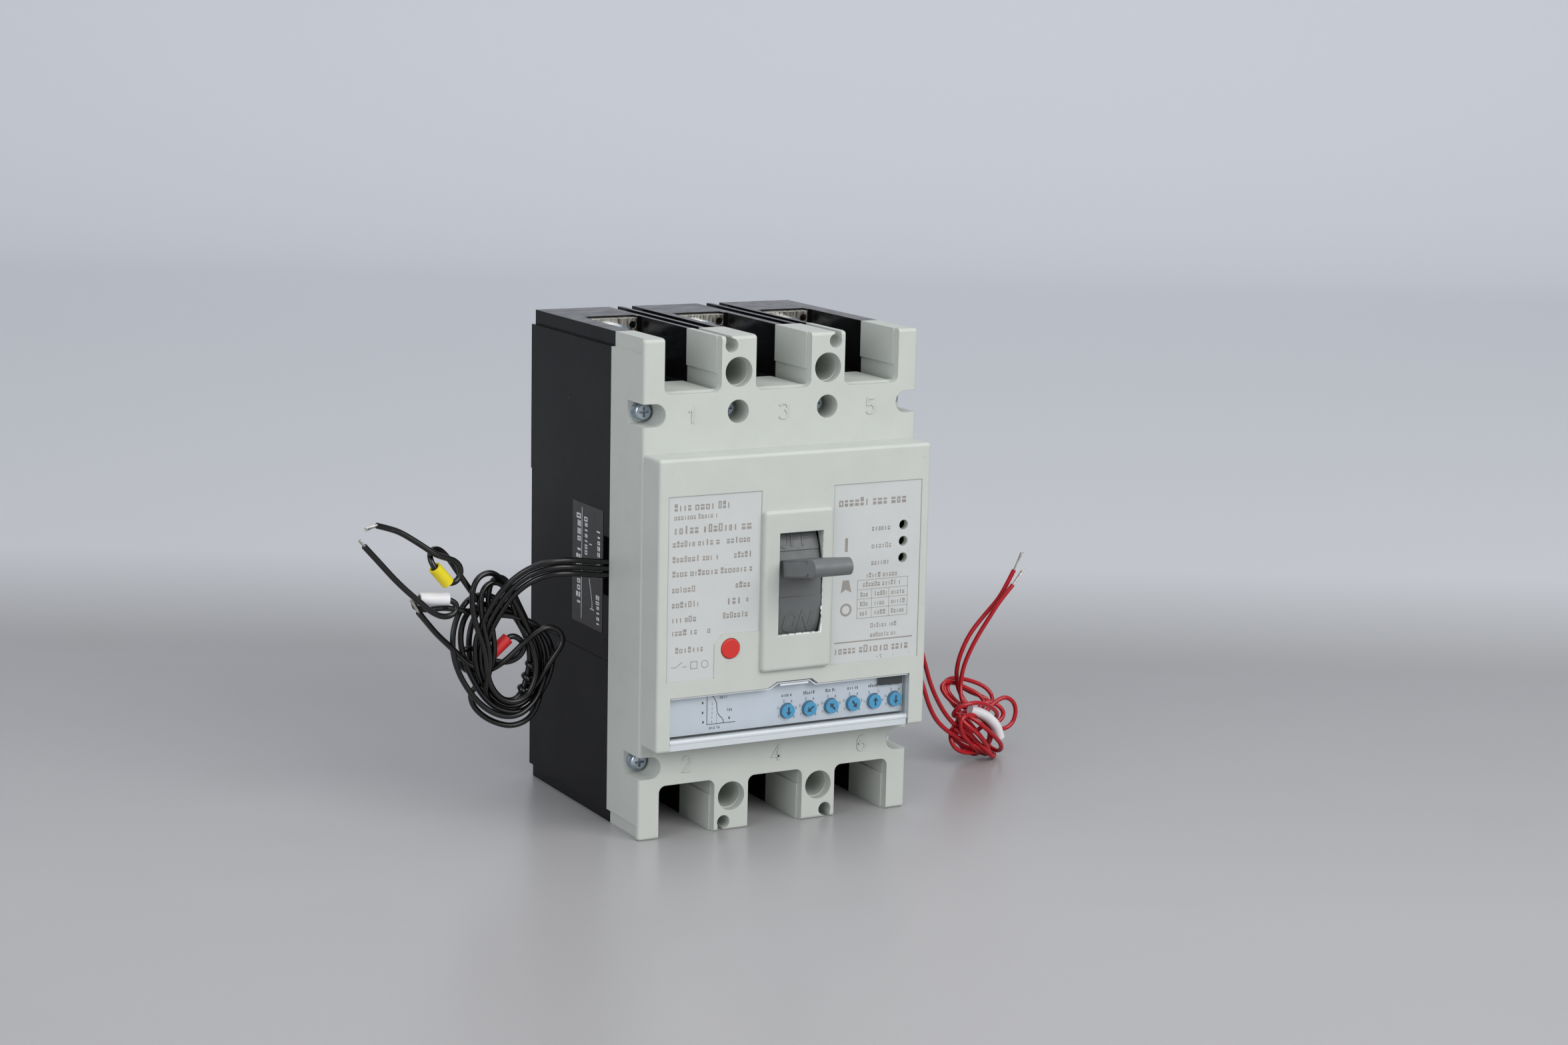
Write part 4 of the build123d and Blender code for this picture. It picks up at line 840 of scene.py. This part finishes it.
leads("aux", "wire_black", 1.8, 0.45, "aux_coil", 20, zip(
    BLACK_LEADS, (BLACK_TURNS_1, BLACK_TURNS_2, BLACK_TURNS_3), BLACK_TAILS, BLACK_TIPS,
    (418, 402, 447), (["marker_sleeve_yellow"], ["marker_sleeve_white"], ["marker_sleeve_red"])))
leads("shunt", "wire_red", 1.5, 0.4, "shunt_bundle", 30, zip(
    RED_LEADS, (RED_TURNS_1, RED_TURNS_2), RED_TAILS, RED_TIPS, (419, 445),
    (["shunt_sleeve"], [])))


# ---- Labels and print on the cover ----
LABEL_Y = -90.2
INK_Y = LABEL_Y - 0.05
PANEL_Y, SIDE_FILM_X = -86.8, -45.8
LEFT_LABEL = ((-42.4, 30.3), (-12.2, 30.3), (-12.2, -11.4), (-24.4, -11.4), (-26.8, -13.9),
              (-26.8, -24.4), (-42.4, -24.4))
RIGHT_LABEL_X = (12.5, 42.5)
RIGHT_LABEL_STRIPS = ((30.4, 19.2), (14.6, 14.2), (9.6, 9.1), (4.5, -24.1))
LAMP_CELL_X, LAMP_CELL_Z = (34.8, 38.6), ((19.2, 14.6), (14.2, 9.6), (9.1, 4.5))
LAMP_HOLE_RADIUS = 1.6
DIAL_X = (-0.29, 7.23, 14.84, 22.45, 29.85, 37.05)
DIAL_Z = -37.85


def holed_cell(form, x0, x1, z0, z1):
    """Box of label film with a round hole in its middle."""
    x, z, steps = (x0 + x1) / 2, (z0 + z1) / 2, 24
    rim, outside = [], []
    for step in range(steps):
        angle = 2 * pi * (step + 0.5) / steps
        rim.append((x + LAMP_HOLE_RADIUS * cos(angle), z + LAMP_HOLE_RADIUS * sin(angle)))
        stretch = 1 / max(abs(cos(angle)), abs(sin(angle)))
        outside.append((x + (x1 - x0) / 2 * cos(angle) * stretch,
                        z + (z1 - z0) / 2 * sin(angle) * stretch))
    for step in range(steps):
        after = (step + 1) % steps
        form.prism([outside[step], outside[after], rim[after], rim[step]], *FILM, facing(LABEL_Y))


def labels():
    """Both labels' films. The right one is laid in strips and cells, to stay open at the lamps."""
    form = Form()
    on = facing(LABEL_Y)
    form.prism(LEFT_LABEL, *FILM, on)
    left, right_side = RIGHT_LABEL_X
    for top, bottom in RIGHT_LABEL_STRIPS:
        form.prism(box_outline(left, right_side, bottom, top), *FILM, on)
    for top, bottom in LAMP_CELL_Z:
        form.prism(box_outline(left, LAMP_CELL_X[0], bottom, top), *FILM, on)
        form.prism(box_outline(LAMP_CELL_X[1], right_side, bottom, top), *FILM, on)
        holed_cell(form, *LAMP_CELL_X, bottom, top)
    form.piece("front_labels", LABEL_FACE, "case", "panel_silver")


def circle(u, v, radius, steps):
    """Corners of a round outline."""
    return [(u + radius * cos(2 * pi * step / steps), v + radius * sin(2 * pi * step / steps))
            for step in range(steps)]


def left_print():
    """Lines of print on the left label, and three symbols."""
    rng = Random(4)
    thin, bold = (Print(rng, facing(INK_Y)) for _ in range(2))
    bold.words(-40.6, -21.0, 26.2, 2.2)
    thin.words(-40.6, -26.0, 23.6, 1.5)
    bold.words(-40.8, -14.0, 19.4, 2.4)
    rows = ((16.5, -41.0, -25.2), (16.5, -23.4, -14.3), (12.0, -41.0, -25.2), (12.0, -20.9, -14.2),
            (7.7, -41.0, -14.0), (3.0, -41.0, -32.8), (3.0, -20.2, -15.1), (-1.5, -41.0, -30.5),
            (-5.9, -41.0, -32.6), (-5.9, -24.2, -15.7), (-9.8, -41.0, -32.5), (-9.8, -29.3, -27.7),
            (-15.1, -39.7, -29.9))
    for z, x0, x1 in rows:
        thin.words(x0, x1, z - 0.9, 1.8)
    bold.words(-23.1, -17.7, -2.7, 2.5)
    thin.words(-16.6, -15.0, -2.3, 1.6)
    # Small generic symbols: a switch contact, a square and a circle
    thin.line([(-41.0, -20.2), (-39.6, -20.2), (-37.4, -18.7)], 0.22)
    thin.line([(-37.4, -20.2), (-35.9, -20.2)], 0.22)
    thin.line(box_outline(-34.6, -32.5, -21.0, -18.9), 0.22, closed=True)
    thin.line(circle(-30.0, -19.9, 1.1, 16), 0.22, closed=True)
    thin.piece("left_label_print", INK_GREY, "case", "label_film")
    bold.piece("left_label_print_bold", INK_GREY, "case", "label_film")


def right_print():
    """Print on the right label: on, tripped and off symbols, the lamps' lines and a table."""
    form = Print(Random(9), facing(INK_Y))
    form.words(14.1, 39.3, 23.8, 2.6)
    form.area(box_outline(16.45, 17.45, 10.0, 14.2))
    form.area([(15.4, -2.6), (17.1, -1.5), (19.1, -2.6), (18.1, 1.3), (16.0, 1.3)])
    form.line(circle(17.3, -7.8, 1.65, 24), 0.7, closed=True)
    for z in (16.6, 11.2, 6.1):
        form.words(25.7, 32.9, z - 0.8, 1.6)
    form.words(24.1, 35.3, 1.5, 1.5)
    form.line(box_outline(21.2, 38.7, -10.8, 0.9), 0.16, closed=True)
    for z in (-2.0, -4.9, -7.8):
        form.line([(21.2, z), (38.7, z)], 0.14)
    for x in (26.2, 32.2):
        form.line([(x, -2.0), (x, -10.8)], 0.14)
    form.words(23.0, 37.0, -1.2, 1.5)
    for z in (-4.2, -7.1, -10.0):
        for x0, x1 in ((22.2, 25.6), (27.1, 31.6), (33.1, 38.0)):
            form.words(x0, x1, z, 1.4)
    for z in (-14.0, -16.9):
        form.words(26.0, 35.7, z, 1.4)
    form.line([(13.6, -17.8), (40.8, -17.8)], 0.4)
    form.words(13.7, 40.9, -21.4, 2.3)
    form.piece("right_label_print", INK_GREY, "case", "label_film")


def panel_print():
    """Scales, ticks and a tripping curve printed on the dial panel."""
    form = Print(Random(14), facing(PANEL_Y))
    form.line([(-27.2, -30.7), (-27.2, -39.4), (-17.7, -39.4)], 0.22)
    curve = [(-25.5, -30.8), (-24.9, -31.4), (-24.1, -32.9), (-23.9, -34.6), (-23.7, -36.1),
             (-22.9, -37.2), (-22.2, -37.8), (-21.8, -38.5), (-21.6, -39.3)]
    form.line(curve, 0.24)
    for x, start, spacing, dash in ((-25.5, -32.9, 1.35, 0.8), (-24.0, -36.4, 0.62, 0.35)):
        for step in range(5):
            top = start - spacing * step
            form.line([(x, top), (x, top - dash)], 0.14)
    for x0, x1, z in ((-26.4, -22.6, -40.9), (-23.0, -20.6, -31.9), (-20.6, -18.4, -35.9)):
        form.words(x0, x1, z, 0.9)
    for x, z in ((-28.9, -33.0), (-28.9, -36.0), (-28.7, -38.9), (-20.0, -38.4)):
        form.area(box_outline(x, x + 0.5, z, z + 0.7))
    for number, x in enumerate(DIAL_X):  # the fifth dial has four settings, the others six
        form.words(x - 1.9, x + 2.0, -33.5, 0.95)
        spots = (-120, -70, -20, 30, 80, 130) if number != 4 else (-90, -30, 30, 90)
        for step, degrees in enumerate(spots):
            angle = radians(degrees)
            tick_start, tick_end, middle = (
                (x + reach * sin(angle), DIAL_Z + reach * cos(angle))
                for reach in (2.45, 2.8, 3.25))
            form.line([tick_start, tick_end], 0.12)
            write(form, str(step + 1), middle[0] - 0.2, middle[1] - 0.33, 0.66, 0.12, *INK,
                  form.place)
    form.piece("dial_panel_print", INK_BLACK, "case", "label_film")


def side_print():
    """Wiring sketch on the black film of the left wall, as plain marks and a switch symbol."""
    form = Print(Random(23), lambda u, v, height: (SIDE_FILM_X - height, v, u))
    form.words(-11.5, 18.2, -37.2, 3.0)
    form.line([(-15.5, -38.1), (19.0, -38.1)], 0.3)
    form.words(4.9, 16.6, -42.0, 2.3)
    form.words(2.4, 14.9, -51.0, 2.3)
    form.words(-15.5, -3.5, -50.8, 2.3)
    form.line([(8.6, -43.4), (8.6, -45.4)], 0.3)
    form.line([(-2.0, -43.6), (-9.0, -45.8), (-11.2, -45.8)], 0.3)
    form.line([(-11.2, -44.4), (-11.2, -47.2)], 0.3)
    form.piece("side_film_print", INK_WHITE, "case", "sleeve_white")


labels()
left_print()
right_print()
panel_print()
side_print()


# ---- Moulded and raised details ----
PIVOT_Y, SHIELD_RADIUS = -57.0, 35.3
STEP_Y, WINDOW_Y, LID_Y = -80.0, -92.05, -90.1
POLE_X = (-30.4, 0.0, 29.8)
BUTTON_X, BUTTON_Z = -21.7, -16.0


def on_shield(u, v, height):
    """Place function for the handle's round shield at rest, v being the height along z."""
    from_pivot = SHIELD_RADIUS + height
    depth = (SHIELD_RADIUS ** 2 - v ** 2) ** 0.5 * from_pivot / SHIELD_RADIUS
    return (u, PIVOT_Y - depth, v * from_pivot / SHIELD_RADIUS)


shield_marks = Form()
write(shield_marks, "ON", -4.4, -12.4, 5.6, 0.75, *SHIELD_MARK, on_shield, slant=0.12, gap=0.3)
write(shield_marks, "OFF", -5.5, 12.9, 4.6, 0.7, *SHIELD_MARK, on_shield, slant=0.12, gap=0.26)
shield_marks.piece("shield_marks", MATERIALS["handle_grey"], "handle", "handle_grey")

numerals = Form()
for marks, foot in (("135", 50.0), ("246", -55.0)):
    for mark, x in zip(marks, POLE_X):
        write(numerals, mark, x - 1.2, foot, 4.4, 0.6, *NUMERAL, facing(STEP_Y))
numerals.piece("terminal_numerals", MATERIALS["cover_grey"], "case", "cover_grey")


def flash():
    """Ragged moulding flash along the right and lower edges of the handle's window."""
    rng = Random(31)
    form = Form()
    left, right_side, bottom, top = -6.9, 7.9, -13.3, 17.6
    tall, wide = 30.9, 14.75
    steps = 52
    right_edge = [(right_side + 0.02, bottom), (right_side + 0.02, top)]
    for step in range(steps, -1, -1):
        z = bottom + tall * step / steps
        reach = 0.62 if z < -5.5 else 0.16
        right_edge.append((right_side - rng.uniform(0.03, reach), z))
    form.prism(right_edge, 0.0, 0.42, facing(WINDOW_Y))
    steps = 30
    lower_edge = [(right_side - 0.05, bottom - 0.02), (left, bottom - 0.02)]
    for step in range(steps):
        lower_edge.append((left + wide * (step + 0.5) / steps, bottom + rng.uniform(0.06, 0.6)))
    form.prism(lower_edge, 0.0, 0.4, facing(WINDOW_Y))
    form.piece("window_flash", FLASH_WHITE, "case", "cover_grey")


flash()

# Painted highlights: whitish strips along the clear lid's top edge and its tab stand in for the
# light caught on the lid's edges
lid_highlight_strips = Form()
lid_line = [(-40.9, -29.72), (-8.2, -29.72), (-5.2, -28.22), (5.5, -28.22), (7.6, -29.72),
            (39.8, -29.72)]
lid_highlight_strips.stroke(lid_line, 0.26, -1.38, 0.03, facing(LID_Y))
lid_highlight_strips.stroke([(-4.6, -28.75), (4.9, -28.75)], 0.5, -0.02, 0.34, facing(LID_Y))
lid_highlight_strips.piece("lid_highlight_strips", LID_HIGHLIGHT_PAINT, "flip_cover", "clear_plastic")


def coil(foot, length, turns, radius, wire_radius):
    """Open coil spring from its foot towards the front, with closer turns at each end."""
    form, path = Form(), []
    steps = turns * 20
    for step in range(steps + 1):
        share = step / steps
        angle = 2 * pi * turns * share
        rise = length * (share - 0.055 * sin(2 * pi * share))
        path.append((foot[0] + radius * cos(angle), foot[1] - rise, foot[2] + radius * sin(angle)))
    form.tube(path, [wire_radius] * len(path))
    return form


spring = coil((BUTTON_X, -72.4, BUTTON_Z), length=8.1, turns=7, radius=2.35, wire_radius=0.35)
spring_mesh = spring.loose("return_spring", MATERIALS["spring_steel"], "spring_steel",
                           "button_spring")
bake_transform(spring_mesh)

specks = Form()
rng = Random(47)
for _ in range(7):  # specks of dirt at the right label's foot
    x, z = rng.uniform(24, 41), rng.uniform(-24.0, -22.6)
    reach = rng.uniform(0.08, 0.22)
    spot = [(x + reach * rng.uniform(0.6, 1.3) * cos(pi * step / 4),
             z + reach * rng.uniform(0.6, 1.3) * sin(pi * step / 4)) for step in range(8)]
    specks.prism(spot, -0.01, 0.04, facing(INK_Y))
specks.piece("dust_specks", INK_BLACK, "case", "label_film")
